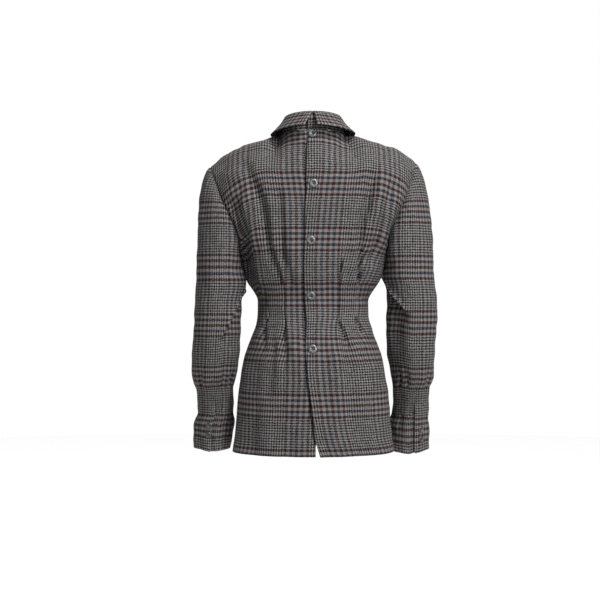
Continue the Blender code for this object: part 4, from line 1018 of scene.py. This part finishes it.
def placed(name, data):
    """A new object in the scene."""
    made = bpy.data.objects.new(name, data)
    bpy.context.scene.collection.objects.link(made)
    return made


def mesh_of(name, shape):
    """A mesh of a shape that was being built."""
    data = bpy.data.meshes.new(name)
    shape.to_mesh(data)
    shape.free()
    return data


def finished(name, piece, *helpers):
    """Mesh of an object with its modifiers applied. The object and its helpers are no longer needed."""
    data = bpy.data.meshes.new_from_object(piece.evaluated_get(bpy.context.evaluated_depsgraph_get()))
    for done in (piece, *helpers):
        bpy.data.objects.remove(done)
    data.name = name
    return data


def piece_of(name, data, *materials):
    """An object of a mesh, smooth but for its sharp edges."""
    for material in materials:
        data.materials.append(material)
    data.shade_smooth()
    data.set_sharp_from_angle(angle=math.radians(SHARP_EDGE))
    return placed(name, data)


def make_back(side, wool):
    """A half of the back, with its tucks. Returns the piece, and its outer points and normals."""
    name, surface, tucks, folds, grain, droop = (
        ("back_right", BACK_RIGHT, RIGHT_TUCKS, RIGHT_FOLDS, RIGHT_GRAIN, RIGHT_DROOP) if side > 0
        else ("back_left", BACK_LEFT, LEFT_TUCKS, LEFT_FOLDS, LEFT_GRAIN, LEFT_DROOP))
    mirror = np.array([side, 1.0, 1.0])
    base, normals, height, weave, takes = half_cloth(surface, 1.0, BACK_TOP, CLOTH_STEP, tucks,
                                                     folds, side, grain, droop)
    height += lap_height(side, base[..., 0] * side, base[..., 2])
    height += bulge_height(SKIRT_BULGES[side], base[..., 0], base[..., 2])
    if side < 0:
        past_edge = np.maximum(base[..., 0] + by_height(RIGHT_EDGE, "x", base[..., 2]), 0.0)
        height -= by_height(LAP_GROOVE, "depth", base[..., 2]) * np.exp(-(past_edge / LAP_GROOVE_WIDTH) ** 2)
    points = seams_dipped(base + normals * height[..., None], normals, ("end", "high"))
    points = armhole_sunk(points, "end", 1.0, ARMHOLE_LINE[side])
    if side < 0:
        weave[..., 0] = 2.0 * BAND_MIDDLE - weave[..., 0]
        takes = [(column, -taken) for column, taken in takes]
    points = points * mirror - np.array([0.0, SEAM_GAP / 2, 0.0])
    normals = normals * mirror
    return shell(name + "_cloth", points, normals, CLOTH, weave, takes, wool), (points, normals)


def make_front(wool):
    """The one-piece front: its left half runs on into its right one at the middle."""
    base, normals, height, weave, takes = half_cloth(FRONT_HALF, -1.0, FRONT_TOP, FRONT_STEP, FRONT_TUCKS,
                                                     FRONT_FOLDS, 1, FRONT_GRAIN, RIGHT_DROOP)
    last = base.shape[1] - 1
    total = sum(taken for _, taken in takes)
    halves = []
    for side in (-1, 1):
        mirror = np.array([side, 1.0, 1.0])
        points = base + normals * (height * FRONT_UNEVEN[side])[..., None]
        points = seams_dipped(points, normals, ("end", "high"))
        points = armhole_sunk(points, "end", -ARMHOLE_FRONT_SINK, 0.0)
        halves.append((points * mirror, normals * mirror))
    left = weave.copy()
    left[..., 0] = -left[..., 0] - total[:, None]
    points = np.concatenate([halves[0][0][:, ::-1], halves[1][0][:, 1:]], axis=1)
    normals = np.concatenate([halves[0][1][:, ::-1], halves[1][1][:, 1:]], axis=1)
    weave = np.concatenate([left[:, ::-1], weave[:, 1:]], axis=1)
    takes = [(last + way * column, taken) for way in (-1, 1) for column, taken in takes]
    points += np.array([0.0, SEAM_GAP / 2, 0.0])
    return shell("front_cloth", points, normals, CLOTH, weave, takes, wool)


def below_crease(name, angle, z):
    """How far a place lies below the elbow crease, and how much of the hollow there is at that height."""
    crease = ELBOW_CREASE[name]
    order = np.argsort(crease["angle"])
    below = np.interp(angle, crease["angle"][order], crease["z"][order]) - z
    fade = np.exp(-np.maximum(below, 0.0) / ELBOW_SPREAD[name])
    return below, smooth_step(-ELBOW_LIP / 2, ELBOW_LIP / 2, below) * fade


def crease_height(name, angle, z):
    """The hollow under the elbow crease, and the edge of the crease above it."""
    below, hollow = below_crease(name, angle, z)
    inside = smooth_step(*ELBOW_STARTS, angle) * (1.0 - smooth_step(*ELBOW_STOPS, angle))
    hollow = hollow * (1.0 + ELBOW_POCKET * np.exp(-(below / ELBOW_POCKET_HIGH) ** 2))
    edge = ELBOW_EDGE * np.exp(-((below + ELBOW_LIP) / ELBOW_LIP) ** 2)
    edge *= smooth_step(ELBOW_STARTS[0], ELBOW_EDGE_FULL, angle)
    edge *= 1.0 - smooth_step(*ELBOW_EDGE_STOPS, angle)
    return edge - ELBOW_DEPTH[name] * inside * hollow


def wrist_height(upper, share, z):
    """Stitched tucks at the wrist, with the billows above them and the gathers in the cuff below."""
    depth = by_height(WRIST_LINE, "depth", z)
    width = by_height(WRIST_LINE, "width", z)
    height = np.zeros_like(share)
    for tuck in WRIST_TUCKS[upper]:
        away = (share - tuck["share"] - WRIST_LEAN * np.maximum(z - WRIST_TOP, 0.0)) * WRIST_PIECE
        height -= depth * tuck["depth"] * np.exp(-(away / width) ** 2)
    return height


def sleeve_weave(edges, points, angles, level):
    """Place in the weave of a sleeve's points. The cloth of its head hangs straight up from the sleeve."""
    top = edges["z"][0]
    first = np.array([edges["outer"][0], SLEEVE_DEPTH["back"][0]])
    last = np.array([edges["inner"][0], SLEEVE_DEPTH["front"][0]])
    flat = (points[..., :2] - (first + last) / 2) / ((first - last) / 2)
    hanging = np.degrees(np.arctan2(flat[..., 1], flat[..., 0]))
    hanging += 360.0 * np.round((angles - hanging) / 360.0)
    in_head = (level < 1.0)[:, None]
    straight = smooth_step(*HEAD_STRAIGHT, np.abs(angles)) * in_head
    u = np.radians(angles + (hanging - angles) * straight) * SLEEVE_ARC
    run = along(points, 0)
    at_top = np.array([np.interp(1.0, level, column) for column in run.T])
    z = np.linspace(top, edges["z"][-1], LINE_STEPS)
    middle_y = (by_height(SLEEVE_DEPTH, "back", z) + by_height(SLEEVE_DEPTH, "front", z)) / 2
    axis = np.stack([middle_y, z], axis=-1)
    down = np.interp(level - 1.0, np.linspace(0.0, 1.0, LINE_STEPS), along(axis, 0))[:, None]
    return np.stack([u, top + SLEEVE_RISE + np.where(in_head, at_top - run, -down)], axis=-1)


def make_sleeve(side, upper, wool):
    """One of the two pieces of a sleeve. Returns the piece, and its outer points and normals."""
    name = "right" if side > 0 else "left"
    edges = RIGHT_SLEEVE if side > 0 else LEFT_SLEEVE
    surface = sleeve_surface(edges)
    mirror = np.array([side, 1.0, 1.0])
    gap = math.degrees(SEAM_GAP / 2 / SLEEVE_RADIUS)
    share = np.linspace(0.0, 1.0, SLEEVE_COLUMNS + 1)
    level = even_levels(surface, BACK_SEAM[name], (0.0, 2.0), CLOTH_STEP)
    at_vent = smooth_step(*VENT_UPPER, share) if upper else 1.0 - smooth_step(*VENT_UNDER, share)
    rows = []
    for one in level[:, None]:
        z = edges["z"][0] + (edges["z"][-1] - edges["z"][0]) * (one[0] - 1.0) if one[0] > 1.0 else 0.0
        lap = (1.0 - smooth_step(VENT_LAPPED, VENT_PARTED, z)) * math.degrees(VENT_LAP / SLEEVE_RADIUS)
        part = 1.0 - smooth_step(VENT_PARTED, VENT_FROM, z)
        if upper:
            begin, end = FRONT_SEAM - 360.0 + gap, BACK_SEAM[name] - gap
        else:
            begin, end = BACK_SEAM[name] + gap - lap, FRONT_SEAM - gap
        angle = begin + (end - begin) * share
        points = surface(angle, one)[0]
        normals = outward(surface, angle, one, 1.0)[0]
        turn = np.mod(angle, 360.0)
        hanging = np.interp(turn, CUFF_DROP[name]["angle"], CUFF_DROP[name]["drop"])
        points[:, 2] -= hanging * (1.0 - smooth_step(edges["z"][-1], VENT_LAPPED, points[:, 2]))
        height = crease_height(name, turn, points[:, 2])
        height += fold_height(SLEEVE_FOLDS[name], 1, np.radians(turn) * SLEEVE_ARC, points[:, 2])
        height += bulge_height(SLEEVE_BULGES[name], turn, points[:, 2])
        calm = np.sin(math.pi * share) ** 0.5 * smooth_step(0.0, WAVES_FROM, one[0])
        height += cloth_waves(side * np.radians(turn) * SLEEVE_ARC, points[:, 2]) * calm
        height += wrist_height(upper, share, points[:, 2]) * (1.0 - at_vent)
        height += (VENT_OUT if upper else -VENT_IN) * part * at_vent
        rows.append((points + normals * height[:, None], normals, angle))
    points, normals, angles = (np.stack(column) for column in zip(*rows))
    weave = sleeve_weave(edges, points, angles, level)
    weave[..., 0] += 0.0 if upper else UNDER_SHIFT
    weave[..., 1] += by_height(SLEEVE_SAG[name], "sag", points[..., 2])
    turned = np.mod(angles, 360.0)
    twisted = np.radians(np.clip(turned - ELBOW_STARTS[0], 0.0, ELBOW_TWIST_TURN))
    twisted *= 1.0 - smooth_step(ELBOW_TWIST_STOPS, FRONT_SEAM, turned)
    weave[..., 1] -= ELBOW_TWIST * below_crease(name, turned, points[..., 2])[1] * twisted * SLEEVE_ARC
    points = seams_dipped(points, normals, ("start", "end", "low"))
    at_back = np.mod(angles[0], 360.0) < 180.0
    points = armhole_sunk(points, "start", np.where(at_back, 1.0, -ARMHOLE_FRONT_SINK),
                          np.where(at_back, ARMHOLE_LINE[side], 0.0)) * mirror
    normals = normals * mirror
    label = f"sleeve_{name}_{'upper' if upper else 'under'}_cloth"
    return shell(label, points, normals, CLOTH, weave, (), wool), (points, normals)


def round_the_neck(x_right, x_left, half_width):
    """Angles of the columns round the neck, from one end at the back to the other."""
    columns = np.linspace(0.0, 1.0, NECK_COLUMNS + 1)
    right = math.degrees(math.asin(x_right / half_width))
    left = math.degrees(math.asin(x_left / half_width))
    return np.concatenate([
        right + (90.0 - right) * columns,
        (180.0 - 90.0 * columns)[::-1][1:],
        (180.0 + 90.0 * columns)[1:],
        (360.0 - left - (90.0 - left) * columns)[::-1][1:],
    ])


def make_collar(wool):
    """The stand round the neck and the leaf that turns down from it."""
    pieces = []
    for name, shape, levels, rows in (("collar_stand", stand_shape, 2.0, STAND_ROWS),
                                      ("collar_fall", fall_shape, len(FALL_LINES) - 1.0, FALL_ROWS)):
        points, normals = shape(np.linspace(0.0, levels, rows + 1))
        middle = along(points, 1)[rows // 2]
        weave = np.stack([np.broadcast_to(middle, points.shape[:2]), along(points, 0) + COLLAR_WEFT], axis=-1)
        points = seams_dipped(points, normals, ("low",) if name == "collar_stand" else ())
        pieces.append(shell(name + "_cloth", points, normals, COLLAR_CLOTH, weave, (), wool))
    return pieces


def seat_on(cloth, x, z, radius):
    """Place and direction of a round piece that lies on a cloth piece, seen from behind at x and z."""
    points, normals = cloth
    away = np.hypot(points[..., 0] - x, points[..., 2] - z) + FAR * (normals[..., 1] > 0)
    spot = np.unravel_index(np.argmin(away), away.shape)
    under = away < radius
    normal = normals[under].mean(axis=0)
    normal /= np.linalg.norm(normal)
    lift = ((points[under] - points[spot]) @ normal).max()
    return points[spot] + normal * (lift + BUTTON_SEAT), normal


def make_button(name, radius, seat, horn, well_shade):
    """A turned button with four holes, seated on the cloth. Its sunk middle and the walls of its holes take
    the darker horn, which paints their shade.
    """
    blank = bmesh.new()
    rings = []
    for row in BUTTON_PROFILE:
        height = row["height"] * BUTTON_HEIGHT * radius
        turns = np.arange(BUTTON_SIDES) * 2.0 * math.pi / BUTTON_SIDES
        if row["radius"] == 0.0:
            rings.append([blank.verts.new((0.0, 0.0, height))])
        else:
            reach = radius * row["radius"]
            rings.append([blank.verts.new((reach * math.cos(turn), reach * math.sin(turn), height))
                          for turn in turns])
    for low, high in zip(rings, rings[1:]):
        for i in range(BUTTON_SIDES):
            j = (i + 1) % BUTTON_SIDES
            if len(low) == 1:
                blank.faces.new((low[0], high[j], high[i]))
            elif len(high) == 1:
                blank.faces.new((low[i], low[j], high[0]))
            else:
                blank.faces.new((low[i], low[j], high[j], high[i]))
    # The middle gets the darker horn: painted shade in the button's hollow.
    for face in blank.faces:
        middle = face.calc_center_median()
        face.material_index = int(middle.z > 0.0 and math.hypot(middle.x, middle.y) < BUTTON_SHADED_WELL * radius)
    drill = bmesh.new()
    for x, y in ((-1, -1), (-1, 1), (1, -1), (1, 1)):
        made = bmesh.ops.create_cone(drill, cap_ends=True, segments=BUTTON_HOLE_SIDES, depth=2.0 * radius,
                                     radius1=BUTTON_HOLE * radius, radius2=BUTTON_HOLE * radius)
        bmesh.ops.translate(drill, verts=made["verts"], vec=Vector((x, y, 0.0)) * BUTTON_HOLE_OFF * radius)
    # The walls of the holes get the darker horn too: painted shade inside the holes.
    for face in drill.faces:
        face.material_index = 1
    body, tool = (placed(label, mesh_of(label, shape))
                  for label, shape in ((name + "_blank", blank), (name + "_drill", drill)))
    body.modifiers.new("Holes", "BOOLEAN").object = tool
    data = finished(name, body, tool)
    turn = Vector(seat[1]).to_track_quat("Z", "Y").to_matrix().to_4x4()
    turn.translation = Vector(seat[0])
    data.transform(turn)
    return piece_of(name, data, horn, well_shade)


def colour(code):
    """Linear colour of an sRGB hex code."""
    parts = [int(code[i:i + 2], 16) / 255.0 for i in (1, 3, 5)]
    return [p / 12.92 if p <= 0.04045 else ((p + 0.055) / 1.055) ** 2.4 for p in parts] + [1.0]


def add(tree, kind, inputs=(), out=None, **settings):
    """Add a node with its settings and inputs, in order or by name. Each input is a value or another output.

    Returns its output of that name, or else the first one in use.
    """
    made = tree.nodes.new(kind)
    for name, value in settings.items():
        setattr(made, name, value)
    in_use = [socket for socket in made.inputs if socket.enabled]
    for socket, value in inputs.items() if isinstance(inputs, dict) else zip(in_use, inputs):
        socket = made.inputs[socket] if isinstance(socket, (str, int)) else socket
        if isinstance(value, bpy.types.NodeSocket):
            tree.links.new(value, socket)
        else:
            socket.default_value = value
    return made.outputs[out] if out else next((socket for socket in made.outputs if socket.enabled), None)


def reckon(tree, operation, *inputs):
    """Add a sum to a tree of nodes."""
    return add(tree, "ShaderNodeMath", inputs, operation=operation)


def mixed(tree, share, first, second, way="MIX"):
    """Add a mix of two colours to a tree of nodes."""
    return add(tree, "ShaderNodeMix", (share, first, second), data_type="RGBA", blend_type=way)


def new_material(name, looks):
    """A material with some plain settings, its nodes and its shader."""
    material = bpy.data.materials.new(name)
    material.use_nodes = True
    shader = material.node_tree.nodes["Principled BSDF"]
    for label, value in looks.items():
        shader.inputs[label].default_value = value
    return material, material.node_tree, shader


def chart_of_threads(name, yarns):
    """Colour of the threads at a place in the repeat: a glen check's chart."""
    band = STRIPE * len(STRIPES)
    ground_line = (REPEAT - band) / GROUND_LINES
    chart = bpy.data.node_groups.new(name, "ShaderNodeTree")
    chart.interface.new_socket("Far", in_out="INPUT", socket_type="NodeSocketFloat")
    chart.interface.new_socket("Thread", in_out="OUTPUT", socket_type="NodeSocketColor")
    far = add(chart, "NodeGroupInput", out="Far")
    place = reckon(chart, "FLOORED_MODULO", far, REPEAT)
    in_band = reckon(chart, "LESS_THAN", place, band)
    stripes = add(chart, "ShaderNodeValToRGB", (reckon(chart, "DIVIDE", place, band),))
    ramp = stripes.node.color_ramp
    ramp.interpolation = "CONSTANT"
    for number, yarn in enumerate(STRIPES):
        stop = ramp.elements[number] if number < 2 else ramp.elements.new(number / len(STRIPES))
        stop.position = number / len(STRIPES)
        stop.color = colour(yarns[yarn])
    past_band = reckon(chart, "SUBTRACT", place, band)
    line = reckon(chart, "FLOOR", reckon(chart, "DIVIDE", past_band, ground_line))
    dark = reckon(chart, "FLOORED_MODULO", line, 2.0)
    ground = mixed(chart, dark, colour(yarns["light"]), colour(yarns["dark"]))
    add(chart, "NodeGroupOutput", {"Thread": mixed(chart, in_band, ground, stripes)})
    return chart


def glen_check_wool():
    """Worsted wool in a 2/3 twill: matt, with a fine broken check that is strongest across the cloth."""
    material, tree, shader = new_material("Glen check wool", {
        "Roughness": 0.95, "Specular IOR Level": 0.03, "Sheen Weight": 0.01, "Sheen Roughness": 0.45})
    laid = add(tree, "ShaderNodeUVMap", uv_map="Weave")
    stray = add(tree, "ShaderNodeTexNoise", {"Vector": laid, "Scale": 1.0 / STRAY_SIZE, "Detail": 2.0},
                out="Color")
    strays = add(tree, "ShaderNodeVectorMath", (stray, (0.5, 0.5, 0.5)), operation="SUBTRACT")
    moved = add(tree, "ShaderNodeVectorMath", {0: strays, "Scale": 2.0 * STRAY}, operation="SCALE")
    place = add(tree, "ShaderNodeSeparateXYZ", (add(tree, "ShaderNodeVectorMath", (laid, moved)),)).node
    threads, numbers, rounds = [], [], []
    for name, yarns, axis, start, way in (("Warp chart", WARP_YARNS, "X", WARP_START, 1.0),
                                          ("Weft chart", WEFT_YARNS, "Y", WEFT_START, -1.0)):
        past = reckon(tree, "SUBTRACT", place.outputs[axis], start)
        far = reckon(tree, "MULTIPLY", past, way)
        count = reckon(tree, "DIVIDE", far, THREAD)
        number = reckon(tree, "FLOOR", count)
        uneven = add(tree, "ShaderNodeTexWhiteNoise", {"W": number}, out="Value", noise_dimensions="1D")
        shade = reckon(tree, "MULTIPLY_ADD", uneven, 2.0 * UNEVEN_YARN, 1.0 - UNEVEN_YARN)
        charted = add(tree, "ShaderNodeGroup", node_tree=chart_of_threads(name, yarns))
        tree.links.new(far, charted.node.inputs["Far"])
        threads.append(mixed(tree, 1.0, charted, shade, "MULTIPLY"))
        numbers.append(number)
        across = reckon(tree, "MULTIPLY", reckon(tree, "FRACT", count), math.pi)
        rounds.append(reckon(tree, "SINE", across))
    step = reckon(tree, "FLOORED_MODULO", reckon(tree, "ADD", *numbers), float(TWILL))
    warp_up = reckon(tree, "LESS_THAN", step, WARP_UP - 0.5)
    crossed = mixed(tree, warp_up, threads[1], threads[0])
    product = mixed(tree, 1.0, *threads, "MULTIPLY")
    both = add(tree, "ShaderNodeGamma", (product, 0.5))    # the square root of the product: the fibres' mean
    cloth = mixed(tree, MINGLED, crossed, both)
    where = add(tree, "ShaderNodeTexCoord", out="Object")
    nap = add(tree, "ShaderNodeTexNoise", {"Vector": where, "Scale": 1.0 / NAP_SIZE, "Detail": 3.0})
    worn = reckon(tree, "MULTIPLY_ADD", nap, 2.0 * UNEVEN_NAP, 1.0 - UNEVEN_NAP)
    tree.links.new(mixed(tree, 1.0, cloth, worn, "MULTIPLY"), shader.inputs["Base Color"])
    relief = add(tree, "ShaderNodeMix", (warp_up, rounds[1], rounds[0]))
    bump = add(tree, "ShaderNodeBump", {"Strength": 0.35, "Distance": THREAD_HEIGHT, "Height": relief})
    tree.links.new(bump, shader.inputs["Normal"])
    return material


def polished_horn(name, dark, light):
    """Polished grey horn: a smooth face with faint streaks, so that it shows a soft bright light."""
    material, tree, shader = new_material(name, {"Roughness": 0.34, "Specular IOR Level": 0.35, "IOR": 1.54})
    where = add(tree, "ShaderNodeTexCoord", out="Object")
    spot = add(tree, "ShaderNodeMapping", {"Vector": where, "Scale": HORN_STREAKS})
    streaks = add(tree, "ShaderNodeTexNoise", {"Vector": spot, "Scale": 1.0, "Detail": 4.0})
    tree.links.new(mixed(tree, streaks, colour(dark), colour(light)), shader.inputs["Base Color"])
    return material


def spun_thread():
    """Dark sewing thread: matt and twisted, seen as small rounded stitches."""
    return new_material("Dark sewing thread", {"Base Color": colour("#0f0e0e"), "Roughness": 0.7})[0]


def stitch_tree():
    """Geometry nodes that set a row of stitches along each line, each turned the way the line says."""
    tree = bpy.data.node_groups.new("Row of stitches", "GeometryNodeTree")
    for name, kind in (("Lines", "Geometry"), ("Pitch", "Float"), ("Length", "Float"), ("Thickness", "Float"),
                       ("Thread", "Material")):
        tree.interface.new_socket(name, in_out="INPUT", socket_type="NodeSocket" + kind)
    tree.interface.new_socket("Stitches", in_out="OUTPUT", socket_type="NodeSocketGeometry")
    given = add(tree, "NodeGroupInput").node.outputs
    line = add(tree, "GeometryNodeMeshToCurve", {"Mesh": given["Lines"]})
    spots = add(tree, "GeometryNodeResampleCurve", {"Curve": line, "Length": given["Pitch"]}, mode="LENGTH")
    way = add(tree, "GeometryNodeInputNamedAttribute", {"Name": "way"}, data_type="FLOAT_VECTOR")
    turn = add(tree, "FunctionNodeAlignRotationToVector", {"Vector": way}, axis="Z")
    size = add(tree, "ShaderNodeCombineXYZ", (given["Thickness"], given["Thickness"], given["Length"]))
    stitch = add(tree, "GeometryNodeMeshUVSphere", {"Segments": 6, "Rings": 5, "Radius": 0.5})
    laid = add(tree, "GeometryNodeInstanceOnPoints",
               {"Points": spots, "Instance": stitch, "Rotation": turn, "Scale": size})
    real = add(tree, "GeometryNodeRealizeInstances", {"Geometry": laid})
    made = add(tree, "GeometryNodeSetMaterial", {"Geometry": real, "Material": given["Thread"]})
    add(tree, "NodeGroupOutput", {"Stitches": made})
    return tree


def sew(name, lines, tree, stitch, thread):
    """Rows of stitches along lines. A line is a list of places, each with the way its stitch runs."""
    data = bpy.data.meshes.new(name + "_lines")
    places = np.concatenate([np.asarray(line)[:, 0] for line in lines])
    ways = np.concatenate([np.asarray(line)[:, 1] for line in lines])
    starts = np.cumsum([0] + [len(line) for line in lines])
    edges = [(i, i + 1) for start, end in zip(starts, starts[1:]) for i in range(start, end - 1)]
    data.from_pydata(places.tolist(), edges, [])
    data.attributes.new("way", "FLOAT_VECTOR", "POINT").data.foreach_set("vector", ways.reshape(-1))
    guide = placed(name + "_guide", data)
    row = guide.modifiers.new("Stitches", "NODES")
    row.node_group = tree
    sockets = {item.name: item.identifier for item in tree.interface.items_tree if item.in_out == "INPUT"}
    for label, value in zip(("Pitch", "Length", "Thickness", "Thread"), (*stitch, thread)):
        row[sockets[label]] = value
    return piece_of(name, finished(name, guide))


def on_cloth(cloth, places):
    """Points just above a cloth piece, at rows and columns of its grid."""
    points, normals = cloth
    return [points[place] + normals[place] * STITCH_RISE for place in places]


def tuck_stitches(cloth):
    """Lines of stitches that hold a half's tucks down at the waist, just outside each step."""
    points = cloth[0]
    lines = []
    for column in np.cumsum(PANEL_COLUMNS)[:2] + STITCH_COLUMNS:
        rows = [row for row in range(points.shape[0]) if TUCK_SEWN[0] < points[row, column, 2] < TUCK_SEWN[1]]
        run = on_cloth(cloth, [(row, column) for row in rows])
        lines.append([(here, after - here) for here, after in zip(run, run[1:])])
    return lines


def button_threads(radius, seat):
    """Threads across a button's four holes, two bars of some strands each."""
    place, normal = Vector(seat[0]), Vector(seat[1])
    turn = normal.to_track_quat("Z", "Y").to_matrix()
    floor = BUTTON_HEIGHT * radius * BUTTON_PROFILE["height"][-1]
    lines = []
    for side in (-1, 1):
        for strand in (-1, 0, 1):
            across = (side * BUTTON_HOLE_OFF + strand * THREAD_SPREAD) * radius
            ends = [place + turn @ Vector((across, end * BUTTON_HOLE_OFF * radius, floor + THREAD_RISE))
                    for end in (-1, 1)]
            lines.append([(list(end), list(ends[1] - ends[0])) for end in ends])
    return lines


def cut_of(piece):
    """Flat width, length and area of a cloth piece, from the weave that it was laid out in."""
    data = piece.data
    uv = np.empty(len(data.loops) * 2)
    data.uv_layers["Weave"].data.foreach_get("uv", uv)
    uv = uv.reshape(-1, 2)
    width, length = uv.max(axis=0) - uv.min(axis=0)
    area = sum(face.area for face in data.polygons) / 2.0
    return width, length, area


def make_garment():
    """All the pieces, attached to one body; each cloth piece and button hides the imported part that it
    stands in for.
    """
    wool, thread = glen_check_wool(), spun_thread()
    grey_horn = polished_horn("Grey horn", "#1c1c1d", "#464648")
    # A darker copy of the horn paints shade: in the buttons' sunk middles and holes, and on the cuff buttons,
    # which hang in shade.
    shaded_horn = polished_horn("Dark grey horn", "#060607", "#161617")
    left, left_cloth = make_back(-1, wool)
    right, right_cloth = make_back(1, wool)
    cloth_pieces = [left, right, make_front(wool)] + make_collar(wool)
    buttons, threads = [], []
    for number, spot in enumerate(BACK_BUTTONS, 1):
        seat = seat_on(right_cloth, spot["x"], spot["z"], BACK_BUTTON_RADIUS)
        label = f"back_button_{number}_horn"
        buttons.append(make_button(label, BACK_BUTTON_RADIUS, seat, grey_horn, shaded_horn))
        threads += button_threads(BACK_BUTTON_RADIUS, seat)
    for name, side in (("left", -1), ("right", 1)):
        under, _ = make_sleeve(side, False, wool)
        upper, cloth = make_sleeve(side, True, wool)
        cloth_pieces += [under, upper]
        for number, spot in enumerate(CUFF_BUTTONS[name], 1):
            seat = seat_on(cloth, side * spot["x"], spot["z"], CUFF_BUTTON_RADIUS)
            label = f"cuff_button_{name}_{number}_horn"
            # The cuff buttons are all in the darker horn: painted shade, since they face down and away from
            # the lights.
            buttons.append(make_button(label, CUFF_BUTTON_RADIUS, seat, shaded_horn, shaded_horn))
            threads += button_threads(CUFF_BUTTON_RADIUS, seat)
    rows = stitch_tree()
    tucked = tuck_stitches(left_cloth) + tuck_stitches(right_cloth)
    sewing = [
        sew("tuck_stitches", tucked, rows, TUCK_STITCH, thread),
        sew("button_threads", threads, rows, BUTTON_STITCH, thread),
    ]
    for piece in cloth_pieces + buttons + sewing:
        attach(piece, "root")
    for piece in cloth_pieces + buttons:
        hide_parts(piece.name.rsplit("_", 1)[0])
        "grey_button" if piece in buttons else "wool_check"
    for piece in cloth_pieces:
        width, length, area = cut_of(piece)
        min(area, width * length)


def area_light(name, place, size, watts):
    """A large soft light that points at the middle."""
    light = bpy.data.lights.new(name, "AREA")
    light.shape = "DISK"
    light.size = size
    light.energy = watts
    lamp = placed(name, light)
    lamp.location = place
    lamp.rotation_euler = (Vector(MIDDLE) - Vector(place)).to_track_quat("-Z", "Y").to_euler()


def white_floor():
    """A plain white floor as far down as a wearer's feet, which isn't part of the garment.

    Its matt white paint gives the eye a pale ground that shows no reflections.
    """
    sheet = bmesh.new()
    bmesh.ops.create_circle(sheet, cap_ends=True, segments=FLOOR_SIDES, radius=FLOOR_RADIUS)
    bmesh.ops.translate(sheet, verts=sheet.verts, vec=(0.0, 0.0, FLOOR_Z))
    data = mesh_of("floor", sheet)
    material, tree, shader = new_material("Matt white paint", {"Roughness": 0.9})
    where = add(tree, "ShaderNodeTexCoord", out="Object")
    grain = add(tree, "ShaderNodeTexNoise", {"Vector": where, "Scale": 40.0, "Detail": 2.0})
    tree.links.new(mixed(tree, grain, colour("#f4f4f4"), colour("#f8f8f8")), shader.inputs["Base Color"])
    data.materials.append(material)
    placed("floor", data)


def light_and_camera():
    """A white surround, the soft lights, and the camera of the photo."""
    scene = bpy.context.scene
    scene.view_settings.view_transform = "Standard"
    world = bpy.data.worlds.new("White surround")
    world.use_nodes = True
    sky = world.node_tree.nodes["Background"].inputs
    sky["Color"].default_value = (1.0, 1.0, 1.0, 1.0)
    sky["Strength"].default_value = 1.0
    scene.world = world
    for name, light in LIGHTS.items():
        area_light(name, *light)
    camera = placed("Camera", bpy.data.cameras.new("Camera"))
    camera.location = (MIDDLE[0], -CAMERA_FAR, MIDDLE[2])
    camera.rotation_euler = (math.pi / 2, 0.0, 0.0)
    camera.data.lens = CAMERA_LENS
    scene.camera = camera


make_garment()
white_floor()
light_and_camera()
